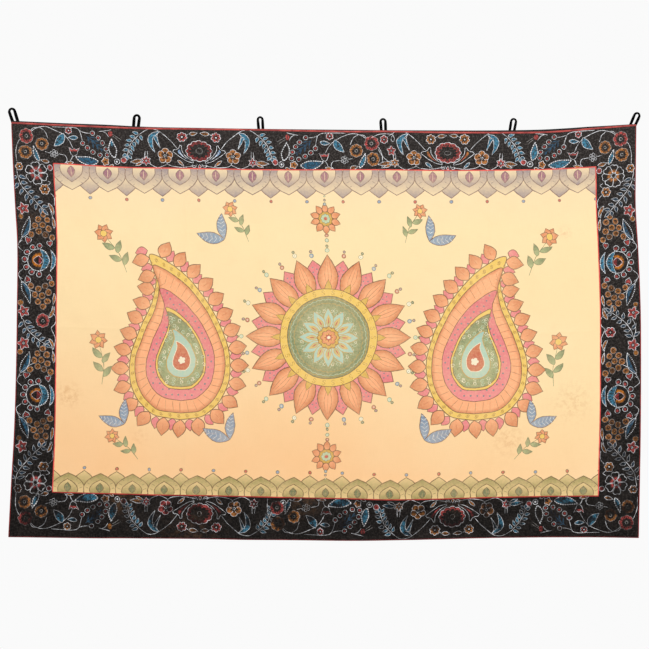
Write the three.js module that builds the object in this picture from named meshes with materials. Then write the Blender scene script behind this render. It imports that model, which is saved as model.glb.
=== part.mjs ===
// A wall hanging: a painted cotton panel, piped in red, in a black border bound in red, on six hanging loops.
// Millimetres. +Z is up, +X is to the right as seen from the front, and the front faces -Y.
// The origin is the middle of the top edge, in the cloth's plane.
import * as THREE from 'three';

// ---- Driving dimensions ----
const CLOTH = { width: 2134, height: 1397, thick: 1.2 };    // laid flat, over the red binding
const GAP = 0.3;                                            // between neighbouring pieces
const PIPING = { width: 4.4, thick: 2.6 };                  // in the seam between panel and border
const BINDING = { top: 6.4, side: 3.4, thick: 2.4 };        // round the outside
const HEADING = { width: 24, thick: 1.2, inset: 2 };        // black tape behind the top edge
const STRAND = { thick: 3.4, tail: 15, twist: 0.3, reach: 0.12 };  // a flat tube, narrower where it turns
const FACET = { length: 60, cord: 6, loop: 8, bend: 26 };   // longest facet, and sides and steps of the tubes

// Where the hung cloth's outline runs. down and across are shares of the flat size.
const SIDES = [
  { down: 0.00, left: -1061, right: 1056 },
  { down: 0.10, left: -1055, right: 1054 },
  { down: 0.20, left: -1047, right: 1053 },
  { down: 0.30, left: -1039, right: 1061 },
  { down: 0.45, left: -1040, right: 1069 },
  { down: 0.60, left: -1043, right: 1070 },
  { down: 0.75, left: -1050, right: 1069 },
  { down: 0.87, left: -1060, right: 1066.5 },
  { down: 1.00, left: -1070, right: 1063.5 },
];
const ENDS = [
  { across: 0.00, top: 26, bottom: -1379.5 },
  { across: 0.07, top: 19, bottom: -1381.5 },
  { across: 0.14, top: 12.5, bottom: -1383.5 },
  { across: 0.20, top: 7.5, bottom: -1384 },
  { across: 0.30, top: 4.5, bottom: -1385.5 },
  { across: 0.38, top: 2.5, bottom: -1388.5 },
  { across: 0.46, top: -1, bottom: -1390 },
  { across: 0.54, top: -4, bottom: -1392 },
  { across: 0.60, top: -3.5, bottom: -1391 },
  { across: 0.68, top: -6.5, bottom: -1387 },
  { across: 0.75, top: -7.5, bottom: -1383 },
  { across: 0.84, top: -7, bottom: -1380.5 },
  { across: 0.89, top: -1.5, bottom: -1380 },
  { across: 0.93, top: 6, bottom: -1380 },
  { across: 1.00, top: 18, bottom: -1382.5 },
];

// The uneven widths of the side borders, from the outer edge to the middle of the piping.
const BORDERS = [
  { down: 0.09, left: 140, right: 138 },
  { down: 0.20, left: 140.5, right: 136 },
  { down: 0.33, left: 136.5, right: 138 },
  { down: 0.46, left: 135.5, right: 139 },
  { down: 0.58, left: 136, right: 139.5 },
  { down: 0.70, left: 138.5, right: 139.5 },
  { down: 0.80, left: 141, right: 141 },
  { down: 0.91, left: 143, right: 141.5 },
];

// The same of the top and bottom borders, and how much of the heading tape shows above the binding.
const UNEVEN = [
  { across: 0.00, top: 135, hem: 156, tape: 4.0 },
  { across: 0.08, top: 134.5, hem: 154, tape: 4.3 },
  { across: 0.16, top: 137.5, hem: 152, tape: 5.2 },
  { across: 0.23, top: 137.5, hem: 149, tape: 2.4 },
  { across: 0.30, top: 138, hem: 148, tape: 1.5 },
  { across: 0.38, top: 139, hem: 147.5, tape: 0.7 },
  { across: 0.46, top: 137, hem: 145, tape: 2.0 },
  { across: 0.54, top: 133.5, hem: 144, tape: 3.4 },
  { across: 0.60, top: 134, hem: 139, tape: 1.7 },
  { across: 0.68, top: 134, hem: 138.5, tape: 4.0 },
  { across: 0.76, top: 133, hem: 140, tape: 4.9 },
  { across: 0.84, top: 131.5, hem: 141.5, tape: 6.7 },
  { across: 0.90, top: 133, hem: 142, tape: 6.2 },
  { across: 0.95, top: 135.5, hem: 142, tape: 3.4 },
  { across: 1.00, top: 135.5, hem: 142, tape: 1.0 },
];

// Soft folds along straight lines, between shares across and down. A trough's forward is negative.
const FOLDS = [
  { name: 'left drag line', across: [0.12, 0.31], down: [0.20, 0.63], width: 36, forward: -4.5 },
  { name: 'ridge below it', across: [0.10, 0.29], down: [0.32, 0.74], width: 44, forward: 3.5 },
  { name: 'second drag line', across: [0.13, 0.26], down: [0.44, 0.80], width: 34, forward: -3 },
  { name: 'right drag line', across: [0.91, 0.77], down: [0.16, 0.58], width: 48, forward: -3.5 },
  { name: 'right ridge', across: [0.95, 0.84], down: [0.30, 0.72], width: 52, forward: 3 },
  { name: 'middle swell', across: [0.46, 0.58], down: [0.55, 0.86], width: 70, forward: 3 },
  { name: 'hem wave left', across: [0.17, 0.19], down: [0.86, 1.06], width: 64, forward: -4 },
  { name: 'hem wave middle', across: [0.36, 0.37], down: [0.84, 1.06], width: 72, forward: 5 },
  { name: 'hem wave right', across: [0.62, 0.60], down: [0.85, 1.06], width: 66, forward: -4 },
  { name: 'hem corner', across: [0.93, 0.91], down: [0.80, 1.06], width: 80, forward: 5 },
];
const BELLY = { forward: 9, turns: 0.85 };        // the middle stands forward, in a part of a half wave
const FLUTES = { forward: 3.5, fade: 0.22 };      // soft flutes between the loops, fading downwards

// at is measured along the top edge from the left, lean is in degrees to the right, and width is outside.
const LOOPS = [
  { at: 14, rise: 51.5, lean: -18, width: 27, strand: 10.5 },
  { at: 425, rise: 45.5, lean: 6, width: 26.5, strand: 10.5 },
  { at: 852, rise: 44, lean: -4, width: 23.5, strand: 9.1 },
  { at: 1271, rise: 43, lean: -3, width: 24, strand: 9.4 },
  { at: 1709, rise: 48, lean: 10, width: 23.6, strand: 8.8 },
  { at: 2123, rise: 45.5, lean: 24, width: 24.6, strand: 9.1 },
];
const SPREAD = 1.12;                              // its legs stand wider apart at the bend than at the foot
const POINT = 0.75;                               // how blunt the bend is: 1 is round

// ---- The cloth as it hangs ----
// A smooth value between the rows of a table: cubic pieces that take their slopes from the rows around them.
function between(rows, key, value, x) {
  const last = rows.length - 1;
  const slope = (i) => {
    const before = rows[Math.max(i - 1, 0)];
    const after = rows[Math.min(i + 1, last)];
    return (after[value] - before[value]) / (after[key] - before[key]);
  };
  let i = 0;
  while (i < last - 1 && x > rows[i + 1][key]) i += 1;
  const [a, b] = [rows[i], rows[i + 1]];
  const span = b[key] - a[key];
  const k = (x - a[key]) / span;
  if (k < 0) return a[value] + slope(i) * (x - a[key]);
  if (k > 1) return b[value] + slope(i + 1) * (x - b[key]);
  const ease = k * k * (3 - 2 * k);
  return THREE.MathUtils.lerp(a[value], b[value], ease)
    + k * (1 - k) * span * ((1 - k) * slope(i) - k * slope(i + 1));
}

// How far one fold stands forward at a flat point: a rounded crest that fades out at both ends.
function foldHeight(fold, s, t) {
  const from = new THREE.Vector2(fold.across[0] * CLOTH.width, fold.down[0] * CLOTH.height);
  const along = new THREE.Vector2(fold.across[1] * CLOTH.width, fold.down[1] * CLOTH.height).sub(from);
  const point = new THREE.Vector2(s, t).sub(from);
  const share = point.dot(along) / along.lengthSq();
  const aside = point.cross(along) / along.length();
  const fade = Math.sin(Math.PI * THREE.MathUtils.clamp(share, 0, 1)) ** 2;
  return fold.forward * fade * Math.exp(-((aside / fold.width) ** 2));
}

function forwardAt(s, t) {
  const across = s / CLOTH.width;
  const down = THREE.MathUtils.clamp(t / CLOTH.height, 0, 1);
  const belly = BELLY.forward * Math.sin(Math.PI * BELLY.turns * down);
  const bays = LOOPS.length - 1;
  const rise = down / FLUTES.fade;
  const flutes = FLUTES.forward * Math.sin(Math.PI * bays * across) ** 2 * rise * Math.exp(1 - rise);
  return belly + flutes + FOLDS.reduce((sum, fold) => sum + foldHeight(fold, s, t), 0);
}

// The hung place of the flat point s to the right of the cloth's top left corner, and t below it.
function surface(s, t) {
  const across = s / CLOTH.width;
  const down = t / CLOTH.height;
  const left = between(SIDES, 'down', 'left', down);
  const right = between(SIDES, 'down', 'right', down);
  const top = between(ENDS, 'across', 'top', across);
  const bottom = between(ENDS, 'across', 'bottom', across);
  return new THREE.Vector3(
    THREE.MathUtils.lerp(left, right, across), -forwardAt(s, t), THREE.MathUtils.lerp(top, bottom, down));
}

// The same, raised by out along the normal of the cloth's front.
function hang(s, t, out) {
  const across = surface(s + 1, t).sub(surface(s - 1, t));
  const up = surface(s, t - 1).sub(surface(s, t + 1));
  const normal = across.cross(up).normalize();
  return surface(s, t).addScaledVector(normal, out);
}

// ---- Making the pieces ----
const hanging = new THREE.Group();
hanging.name = 'wall_hanging';

const cotton = (color) => new THREE.MeshStandardMaterial({ color, roughness: 0.9, metalness: 0 });
const cream = cotton(0xf6d8a6);
const black = cotton(0x2b2827);
const red = cotton(0xc2453c);

function add(name, geometry, material) {
  const mesh = new THREE.Mesh(geometry, material);
  mesh.name = name;
  hanging.add(mesh);
}

// Moves every point of a geometry to where place(x, y, z) says.
function reshape(geometry, place) {
  const points = geometry.getAttribute('position');
  for (let i = 0; i < points.count; i += 1) {
    const at = place(points.getX(i), points.getY(i), points.getZ(i));
    points.setXYZ(i, at.x, at.y, at.z);
  }
  geometry.deleteAttribute('normal');
  geometry.deleteAttribute('uv');
  return geometry;
}

const facets = (length) => Math.ceil(length / FACET.length);
const HALFWAY = CLOTH.height / 2;

// A sheet from left(t) to right(t) and from top(s) to bottom(s), with its front face at the height front.
function sheet(left, right, top, bottom, thick = CLOTH.thick, front = 0) {
  const [nearLeft, nearRight] = [left(HALFWAY), right(HALFWAY)];
  const tall = bottom(nearLeft) - top(nearLeft);
  const unit = new THREE.BoxGeometry(1, 1, 1, facets(nearRight - nearLeft), facets(tall), 1);
  return reshape(unit, (x, y, z) => {
    const near = THREE.MathUtils.lerp(nearLeft, nearRight, x + 0.5);
    const t = THREE.MathUtils.lerp(bottom(near), top(near), y + 0.5);
    const s = THREE.MathUtils.lerp(left(t), right(t), x + 0.5);
    return hang(s, t, front + (z - 0.5) * thick);
  });
}

// A soft flat cord in the cloth, level with its middle.
const middle = -CLOTH.thick / 2;
function cordAcross(left, right, height, width, thick) {
  const unit = new THREE.CylinderGeometry(0.5, 0.5, 1, FACET.cord, facets(right - left));
  return reshape(unit, (x, y, z) => {
    const s = THREE.MathUtils.lerp(left, right, y + 0.5);
    return hang(s, height(s) + x * width, middle + z * thick);
  });
}

function cordDown(aside, top, bottom, width, thick) {
  const unit = new THREE.CylinderGeometry(0.5, 0.5, 1, FACET.cord, facets(bottom - top));
  return reshape(unit, (x, y, z) => {
    const t = THREE.MathUtils.lerp(bottom, top, y + 0.5);
    return hang(aside(t) + x * width, t, middle + z * thick);
  });
}

// ---- Panel, border and the piping between them ----
const uneven = (value, s) => between(UNEVEN, 'across', value, s / CLOTH.width);
const border = (value, t) => between(BORDERS, 'down', value, t / CLOTH.height);
const seam = {
  left: (t) => border('left', t),
  right: (t) => CLOTH.width - border('right', t),
  top: (s) => uneven('top', s),
  bottom: (s) => CLOTH.height - uneven('hem', s),
};
const clear = PIPING.width / 2 + GAP;                // from the seam to the cloth's raw edge
const edge = {
  left: () => BINDING.side + GAP,
  right: () => CLOTH.width - BINDING.side - GAP,
  top: () => BINDING.top + GAP,
  bottom: () => CLOTH.height - BINDING.side - GAP,
};
const shift = (line, by) => (x) => line(x) + by;

add('centre_panel', sheet(shift(seam.left, clear), shift(seam.right, -clear),
  shift(seam.top, clear), shift(seam.bottom, -clear)), cream);
add('border_top', sheet(edge.left, edge.right, edge.top, shift(seam.top, -clear)), black);
add('border_bottom', sheet(edge.left, edge.right, shift(seam.bottom, clear), edge.bottom), black);
const sideTop = shift(seam.top, GAP - clear);
const sideBottom = shift(seam.bottom, clear - GAP);
add('border_left', sheet(edge.left, shift(seam.left, -clear), sideTop, sideBottom), black);
add('border_right', sheet(shift(seam.right, clear), edge.right, sideTop, sideBottom), black);

const half = PIPING.width / 2;
for (const end of ['top', 'bottom']) {
  const height = seam[end](CLOTH.width / 2);
  add(`piping_${end}`, cordAcross(
    seam.left(height) - half, seam.right(height) + half, seam[end], PIPING.width, PIPING.thick), red);
}
for (const side of ['left', 'right']) {
  const s = seam[side](HALFWAY);
  add(`piping_${side}`, cordDown(
    seam[side], seam.top(s) + clear, seam.bottom(s) - clear, PIPING.width, PIPING.thick), red);
}

// ---- Binding round the outside ----
const sideHalf = BINDING.side / 2;
add('binding_top', cordAcross(0, CLOTH.width, () => BINDING.top / 2, BINDING.top, BINDING.thick), red);
add('binding_bottom',
  cordAcross(0, CLOTH.width, () => CLOTH.height - sideHalf, BINDING.side, BINDING.thick), red);
for (const [name, s] of [['binding_left', sideHalf], ['binding_right', CLOTH.width - sideHalf]]) {
  add(name, cordDown(() => s, edge.top(), edge.bottom(), BINDING.side, BINDING.thick), red);
}

// ---- Heading tape behind the top edge ----
// The binding is thicker than the cloth, so the tape clears the binding's back.
const tapeFront = middle - BINDING.thick / 2 - GAP;
add('heading_tape', sheet(() => HEADING.inset, () => CLOTH.width - HEADING.inset,
  (s) => -uneven('tape', s), () => HEADING.width, HEADING.thick, tapeFront), black);

// ---- Hanging loops ----
// Each is one flat tube that goes up, round a narrow bend and down again, its tails behind the tape.
function loopRoute({ rise, width, strand }) {
  const foot = (width - strand) / 2;
  const bend = foot * SPREAD;
  const legs = rise - bend - strand * (1 - STRAND.twist) / 2;
  const crown = legs + bend * 4 / 3;                 // gives a curve whose top is bend above the legs
  const point = (x, z) => new THREE.Vector3(x, 0, z);
  const route = new THREE.CurvePath();
  route.add(new THREE.LineCurve3(point(-foot, -STRAND.tail), point(-foot, 0)));
  route.add(new THREE.LineCurve3(point(-foot, 0), point(-bend, legs)));
  route.add(new THREE.CubicBezierCurve3(
    point(-bend, legs), point(-bend * POINT, crown), point(bend * POINT, crown), point(bend, legs)));
  route.add(new THREE.LineCurve3(point(bend, legs), point(foot, 0)));
  route.add(new THREE.LineCurve3(point(foot, 0), point(foot, -STRAND.tail)));
  return route;
}

// A tube along an upright route, its oval section flat against the cloth and narrower halfway along.
function loopTube(loop) {
  const route = loopRoute(loop);
  const points = [];
  const faces = [];
  for (let i = 0; i <= FACET.bend; i += 1) {
    const share = i / FACET.bend;
    const middlePoint = route.getPointAt(share);
    const way = route.getTangentAt(share);
    const side = new THREE.Vector3(way.z, 0, -way.x);
    const wide = loop.strand * (1 - STRAND.twist * Math.exp(-(((share - 0.5) / STRAND.reach) ** 2)));
    for (let j = 0; j < FACET.loop; j += 1) {
      const angle = 2 * Math.PI * j / FACET.loop;
      const at = middlePoint.clone().addScaledVector(side, Math.cos(angle) * wide / 2);
      points.push(at.x, at.y + Math.sin(angle) * STRAND.thick / 2, at.z);
      if (i === FACET.bend) continue;
      const [here, next] = [i * FACET.loop + j, i * FACET.loop + (j + 1) % FACET.loop];
      faces.push(here, next, next + FACET.loop, here, next + FACET.loop, here + FACET.loop);
    }
  }
  const end = FACET.bend * FACET.loop;
  for (let j = 1; j < FACET.loop - 1; j += 1) faces.push(0, j + 1, j, end, end + j, end + j + 1);
  const tube = new THREE.BufferGeometry();
  tube.setAttribute('position', new THREE.Float32BufferAttribute(points, 3));
  tube.setIndex(faces);
  return tube;
}

const loopDepth = tapeFront - HEADING.thick - GAP - STRAND.thick / 2;
LOOPS.forEach((loop, number) => {
  const foot = hang(loop.at, 0, loopDepth);
  const turn = new THREE.Matrix4().makeRotationY(THREE.MathUtils.degToRad(loop.lean));
  const place = (x, y, z) => new THREE.Vector3(x, y, z).applyMatrix4(turn).add(foot);
  add(`loop_${number + 1}`, reshape(loopTube(loop), place), black);
});

export default hanging;
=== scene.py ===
"""A painted cotton wall hanging, dressed over its CAD frame. Metres, except in the painting, which is in millimetres.

The cloth is described flat: s runs to the right from its top left corner and t runs down. hang() bends that
flat cloth into the shape in which it hangs, by the same tables as the part's source. All that is painted on a
sheet is cut into the sheet's own faces, and a colour attribute of their corners keeps it.
"""
import math
import random

import bpy
import numpy as np
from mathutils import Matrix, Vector
from mathutils.geometry import delaunay_2d_cdt


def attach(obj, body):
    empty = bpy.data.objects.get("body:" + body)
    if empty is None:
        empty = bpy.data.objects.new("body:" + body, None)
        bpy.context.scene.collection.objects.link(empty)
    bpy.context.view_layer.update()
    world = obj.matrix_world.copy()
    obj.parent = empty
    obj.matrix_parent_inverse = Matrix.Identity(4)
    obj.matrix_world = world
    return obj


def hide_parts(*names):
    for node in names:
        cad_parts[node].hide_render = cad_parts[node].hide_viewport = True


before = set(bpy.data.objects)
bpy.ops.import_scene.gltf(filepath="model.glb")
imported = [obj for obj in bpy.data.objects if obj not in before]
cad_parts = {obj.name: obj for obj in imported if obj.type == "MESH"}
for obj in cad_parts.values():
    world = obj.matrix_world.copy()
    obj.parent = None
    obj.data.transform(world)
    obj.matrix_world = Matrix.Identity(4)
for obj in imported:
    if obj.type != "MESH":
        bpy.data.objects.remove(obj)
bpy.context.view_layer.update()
scene = bpy.context.scene
MM = 0.001

# ---- The cloth's own sizes, as in the part's source, in millimetres ----
WIDTH, HEIGHT, THICK = 2134, 1397, 1.2
PIPING_WIDTH, PIPING_THICK = 4.4, 2.6
BINDING_TOP, BINDING_SIDE, BINDING_THICK = 6.4, 3.4, 2.4
HEADING_WIDTH, HEADING_THICK, HEADING_INSET = 24, 1.2, 2
STRAND_THICK, STRAND_TAIL, STRAND_TWIST, STRAND_REACH = 3.4, 15, 0.3, 0.12
GAP = 0.3
SPREAD, POINT = 1.12, 0.75

# down, left edge, right edge
SIDES = [
    (0.00, -1061, 1056), (0.10, -1055, 1054), (0.20, -1047, 1053), (0.30, -1039, 1061), (0.45, -1040, 1069),
    (0.60, -1043, 1070), (0.75, -1050, 1069), (0.87, -1060, 1066.5), (1.00, -1070, 1063.5),
]
# across, top edge, bottom edge
ENDS = [
    (0.00, 26, -1379.5), (0.07, 19, -1381.5), (0.14, 12.5, -1383.5), (0.20, 7.5, -1384), (0.30, 4.5, -1385.5),
    (0.38, 2.5, -1388.5), (0.46, -1, -1390), (0.54, -4, -1392), (0.60, -3.5, -1391), (0.68, -6.5, -1387),
    (0.75, -7.5, -1383), (0.84, -7, -1380.5), (0.89, -1.5, -1380), (0.93, 6, -1380), (1.00, 18, -1382.5),
]
# across, width of the top border, width of the bottom border, tape that shows above the binding
UNEVEN = [
    (0.00, 135, 156, 4.0), (0.08, 134.5, 154, 4.3), (0.16, 137.5, 152, 5.2), (0.23, 137.5, 149, 2.4),
    (0.30, 138, 148, 1.5), (0.38, 139, 147.5, 0.7), (0.46, 137, 145, 2.0), (0.54, 133.5, 144, 3.4),
    (0.60, 134, 139, 1.7), (0.68, 134, 138.5, 4.0), (0.76, 133, 140, 4.9), (0.84, 131.5, 141.5, 6.7),
    (0.90, 133, 142, 6.2), (0.95, 135.5, 142, 3.4), (1.00, 135.5, 142, 1.0),
]
# Soft folds: across and down at both ends, width, height forwards
FOLDS = [
    (0.12, 0.20, 0.31, 0.63, 36, -4.5), (0.10, 0.32, 0.29, 0.74, 44, 3.5), (0.13, 0.44, 0.26, 0.80, 34, -3),
    (0.91, 0.16, 0.77, 0.58, 48, -3.5), (0.95, 0.30, 0.84, 0.72, 52, 3), (0.46, 0.55, 0.58, 0.86, 70, 3),
    (0.17, 0.86, 0.19, 1.06, 64, -4), (0.36, 0.84, 0.37, 1.06, 72, 5), (0.62, 0.85, 0.60, 1.06, 66, -4),
    (0.93, 0.80, 0.91, 1.06, 80, 5),
]
BELLY, BELLY_TURNS = 9, 0.85
FLUTE, FLUTE_FADE = 3.5, 0.22
# down, widths of the left and right borders, from the outer edge to the middle of the piping
BORDERS = [
    (0.09, 140, 138), (0.20, 140.5, 136), (0.33, 136.5, 138), (0.46, 135.5, 139), (0.58, 136, 139.5),
    (0.70, 138.5, 139.5), (0.80, 141, 141), (0.91, 143, 141.5),
]
# along the top edge, rise, lean in degrees, width outside, width of the strand
LOOPS = [
    (14, 51.5, -18, 27, 10.8), (425, 45.5, 6, 26.5, 10.8), (852, 44, -4, 23.5, 9.4),
    (1271, 43, -3, 24, 9.7), (1709, 48, 10, 23.6, 9.1), (2123, 45.5, 24, 24.6, 9.4),
]
# Sharp creases from when the cloth lay folded, which the solids leave out: ends, width, height
CREASES = [
    (0.00, 0.490, 1.00, 0.496, 5, 0.9), (0.275, 0.10, 0.275, 1.0, 5, 0.5), (0.50, 0.10, 0.502, 1.0, 5, 0.55),
    (0.765, 0.12, 0.762, 1.0, 5, 0.5),
]


# ---- The cloth as it hangs ----
def between(table, value, x):
    """A smooth value between a table's rows, as the part's source works it out."""
    keys, values = np.array([(row[0], row[value]) for row in table], float).T
    last = len(keys) - 1
    low, high = np.clip(np.arange(last + 1) - 1, 0, last), np.clip(np.arange(last + 1) + 1, 0, last)
    slopes = (values[high] - values[low]) / (keys[high] - keys[low])
    i = np.clip(np.searchsorted(keys, x, side="left") - 1, 0, last - 1)
    span = keys[i + 1] - keys[i]
    k = (x - keys[i]) / span
    ease = k * k * (3 - 2 * k)
    inside = (values[i] + (values[i + 1] - values[i]) * ease
              + k * (1 - k) * span * ((1 - k) * slopes[i] - k * slopes[i + 1]))
    before = values[i] + slopes[i] * (x - keys[i])
    after = values[i + 1] + slopes[i + 1] * (x - keys[i + 1])
    return np.where(k < 0, before, np.where(k > 1, after, inside))


def along_line(ends, s, t):
    """The share along a line between two flat points, and the distance to its side."""
    a0, d0, a1, d1 = ends
    from_s, from_t = a0 * WIDTH, d0 * HEIGHT
    run_s, run_t = a1 * WIDTH - from_s, d1 * HEIGHT - from_t
    length = math.hypot(run_s, run_t)
    share = ((s - from_s) * run_s + (t - from_t) * run_t) / length ** 2
    aside = ((s - from_s) * run_t - (t - from_t) * run_s) / length
    return share, aside


def forward(s, t):
    """How far the cloth comes forwards of its plane."""
    down = np.clip(t / HEIGHT, 0, 1)
    rise = down / FLUTE_FADE
    total = BELLY * np.sin(math.pi * BELLY_TURNS * down)
    total = total + FLUTE * np.sin(math.pi * (len(LOOPS) - 1) * s / WIDTH) ** 2 * rise * np.exp(1 - rise)
    for *ends, width, height in FOLDS:
        share, aside = along_line(ends, s, t)
        total = total + height * np.sin(math.pi * np.clip(share, 0, 1)) ** 2 * np.exp(-((aside / width) ** 2))
    for *ends, width, height in CREASES:
        share, aside = along_line(ends, s, t)
        fade = np.clip(np.minimum(share, 1 - share) * 12, 0, 1)
        total = total + height * fade * np.exp(-np.abs(aside / width) ** 1.3)
    return total


def surface(s, t):
    """The hung place of flat points, in millimetres."""
    across, down = s / WIDTH, t / HEIGHT
    left, right = between(SIDES, 1, down), between(SIDES, 2, down)
    top, bottom = between(ENDS, 1, across), between(ENDS, 2, across)
    return np.stack([left + (right - left) * across, -forward(s, t), top + (bottom - top) * down], axis=-1)


def hang(s, t, out=0.0):
    """The hung place, in metres, of flat points, raised by out along the normal of the cloth's front."""
    s, t = np.broadcast_arrays(np.asarray(s, float), np.asarray(t, float))
    across = surface(s + 1, t) - surface(s - 1, t)
    up = surface(s, t - 1) - surface(s, t + 1)
    normal = np.cross(across, up)
    normal /= np.linalg.norm(normal, axis=-1, keepdims=True)
    return (surface(s, t) + normal * np.asarray(out, float)[..., None]) * MM


def brow(s):
    """The seam between the panel and the top border."""
    return between(UNEVEN, 1, np.asarray(s, float) / WIDTH)


def hem(s):
    """The seam between the panel and the bottom border."""
    return HEIGHT - between(UNEVEN, 2, np.asarray(s, float) / WIDTH)


def seam_left(t):
    """The seam between the panel and the left border."""
    return between(BORDERS, 1, np.asarray(t, float) / HEIGHT)


def seam_right(t):
    """The seam between the panel and the right border."""
    return WIDTH - between(BORDERS, 2, np.asarray(t, float) / HEIGHT)


# ---- Colours, written as they look and used as light ----
def rgb(red, green, blue):
    return tuple((v / 255 / 12.92 if v <= 10 else ((v / 255 + 0.055) / 1.055) ** 2.4) for v in (red, green, blue))


BARE = None
WHITE = rgb(246, 247, 250)
ASH = (*rgb(198, 194, 190), 0.9)
RED = (*rgb(200, 86, 82), 0.9)
WINE = (*rgb(168, 66, 66), 0.85)
ORANGE = (*rgb(204, 132, 70), 0.88)
OCHRE = (*rgb(190, 122, 56), 0.8)
BLUE = (*rgb(76, 144, 174), 0.9)
NAVY = (*rgb(54, 112, 144), 0.8)
DIM = (*rgb(66, 110, 140), 0.7)
ICE = (*rgb(150, 184, 222), 0.9)
NIGHT = rgb(34, 31, 31)


# ---- Shapes, as closed rings of complex numbers in millimetres ----
def polar(radius, count):
    """A ring round 0 whose radius depends on the angle."""
    angle = np.arange(count) * 2 * math.pi / count
    return radius(angle) * np.exp(1j * angle)


def disc(radius, count=12):
    return polar(lambda angle: radius + 0 * angle, count)


def area(ring):
    """A ring's area, below 0 if it runs clockwise."""
    return np.sum(np.conj(ring) * np.roll(ring, -1)).imag / 2


def grow(ring, by):
    """The ring moved outwards by a distance."""
    along = np.roll(ring, -1) - np.roll(ring, 1)
    normal = -1j * along / np.maximum(np.abs(along), 1e-6)
    return ring + normal * by * math.copysign(1, area(ring))


def curve(points, steps=7):
    """A smooth open line through the points."""
    p = np.array([2 * points[0] - points[1], *points, 2 * points[-1] - points[-2]], complex)
    k = np.arange(steps) / steps
    parts = []
    for a, b, c, d in zip(p, p[1:], p[2:], p[3:]):
        parts.append(b + 0.5 * k * (c - a + k * (2 * a - 5 * b + 4 * c - d + k * (3 * (b - c) + d - a))))
    return np.append(np.concatenate(parts), p[-2])


def ways(line):
    """The distance along a line at each of its points."""
    return np.concatenate([[0], np.cumsum(np.abs(np.diff(line)))])


def on(line, way):
    """The place at a distance along a line."""
    steps = ways(line)
    return np.interp(way, steps, line.real) + 1j * np.interp(way, steps, line.imag)


def heading(step):
    """The direction of a step, in degrees."""
    return math.degrees(math.atan2(step.imag, step.real))


def off_line(ring, points):
    """Each point's distance from the ring's line."""
    least = np.full(points.shape, 1e9)
    for a, b in zip(ring, np.roll(ring, -1)):
        k = np.clip(((points - a) * np.conj(b - a)).real / max(abs(b - a) ** 2, 1e-9), 0, 1)
        least = np.minimum(least, np.abs(points - a - k * (b - a)))
    return least


def ribbon(line, width, thin=0.35):
    """A brush stroke along a line, thinner at both ends."""
    along = np.gradient(line)
    normal = 1j * along / np.maximum(np.abs(along), 1e-6)
    share = np.linspace(0, 1, len(line))
    half = width / 2 * (thin + (1 - thin) * np.sin(math.pi * share) ** 0.5)
    return np.concatenate([line - normal * half, (line + normal * half)[::-1]])


def blade(length, width, bend=0.0, fullness=0.8, count=14):
    """A leaf's ring, from its stalk at 0 along +x, turning by bend on the way."""
    share = np.linspace(0, 1, count)
    spine = np.cumsum(np.exp(1j * bend * (share - 0.5))) / len(share) * length
    spine = spine - spine[0]
    half = width / 2 * np.sin(math.pi * share ** fullness)
    normal = 1j * np.exp(1j * bend * (share - 0.5))
    return np.concatenate([spine - normal * half, (spine + normal * half)[-2:0:-1]])


# ---- Tints: each gives the colour and strength of paint at flat points ----
def flat_tint(colour):
    return lambda p: np.broadcast_to(np.array((*colour, 1.0) if len(colour) == 3 else colour), (*p.shape, 4))


def blend(near, far, share_of):
    """A tint that runs from near to far with a share worked out for each point."""
    near, far = flat_tint(near)(np.zeros(1)), flat_tint(far)(np.zeros(1))

    def tint(p):
        share = np.clip(share_of(p), 0, 1)[..., None]
        return near * (1 - share) + far * share
    return tint


def radial(near, far, middle, reach):
    return blend(near, far, lambda p: np.abs(p - middle) / reach)


def linear(near, far, start, run):
    return blend(near, far, lambda p: ((p - start) * np.conj(run)).real / abs(run) ** 2)


def from_rim(near, far, ring, depth):
    """near at the ring's own line, far at a depth inside it."""
    return blend(near, far, lambda p: off_line(ring, p) / depth)


# ---- The painting on one sheet ----
def waver(points):
    """The small unevenness of a hand that draws."""
    s, t = points.real, points.imag
    return points + 0.9 * (np.sin(s / 13 + t / 29) + 1j * np.sin(t / 11 - s / 23)) + 0.5 * np.sin(s / 5.1 + t / 4.3)


def spare(ring, least):
    """A ring without the points that lie almost on the line between their neighbours."""
    for turn in range(4):
        if len(ring) < 7:
            break
        chord = np.roll(ring, -1) - np.roll(ring, 1)
        aside = np.abs((np.conj(chord) * (ring - np.roll(ring, 1))).imag) / np.maximum(np.abs(chord), 1e-9)
        drop = aside < least
        drop[turn % 2::2] = False
        ring = ring[~drop]
    return ring


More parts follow.
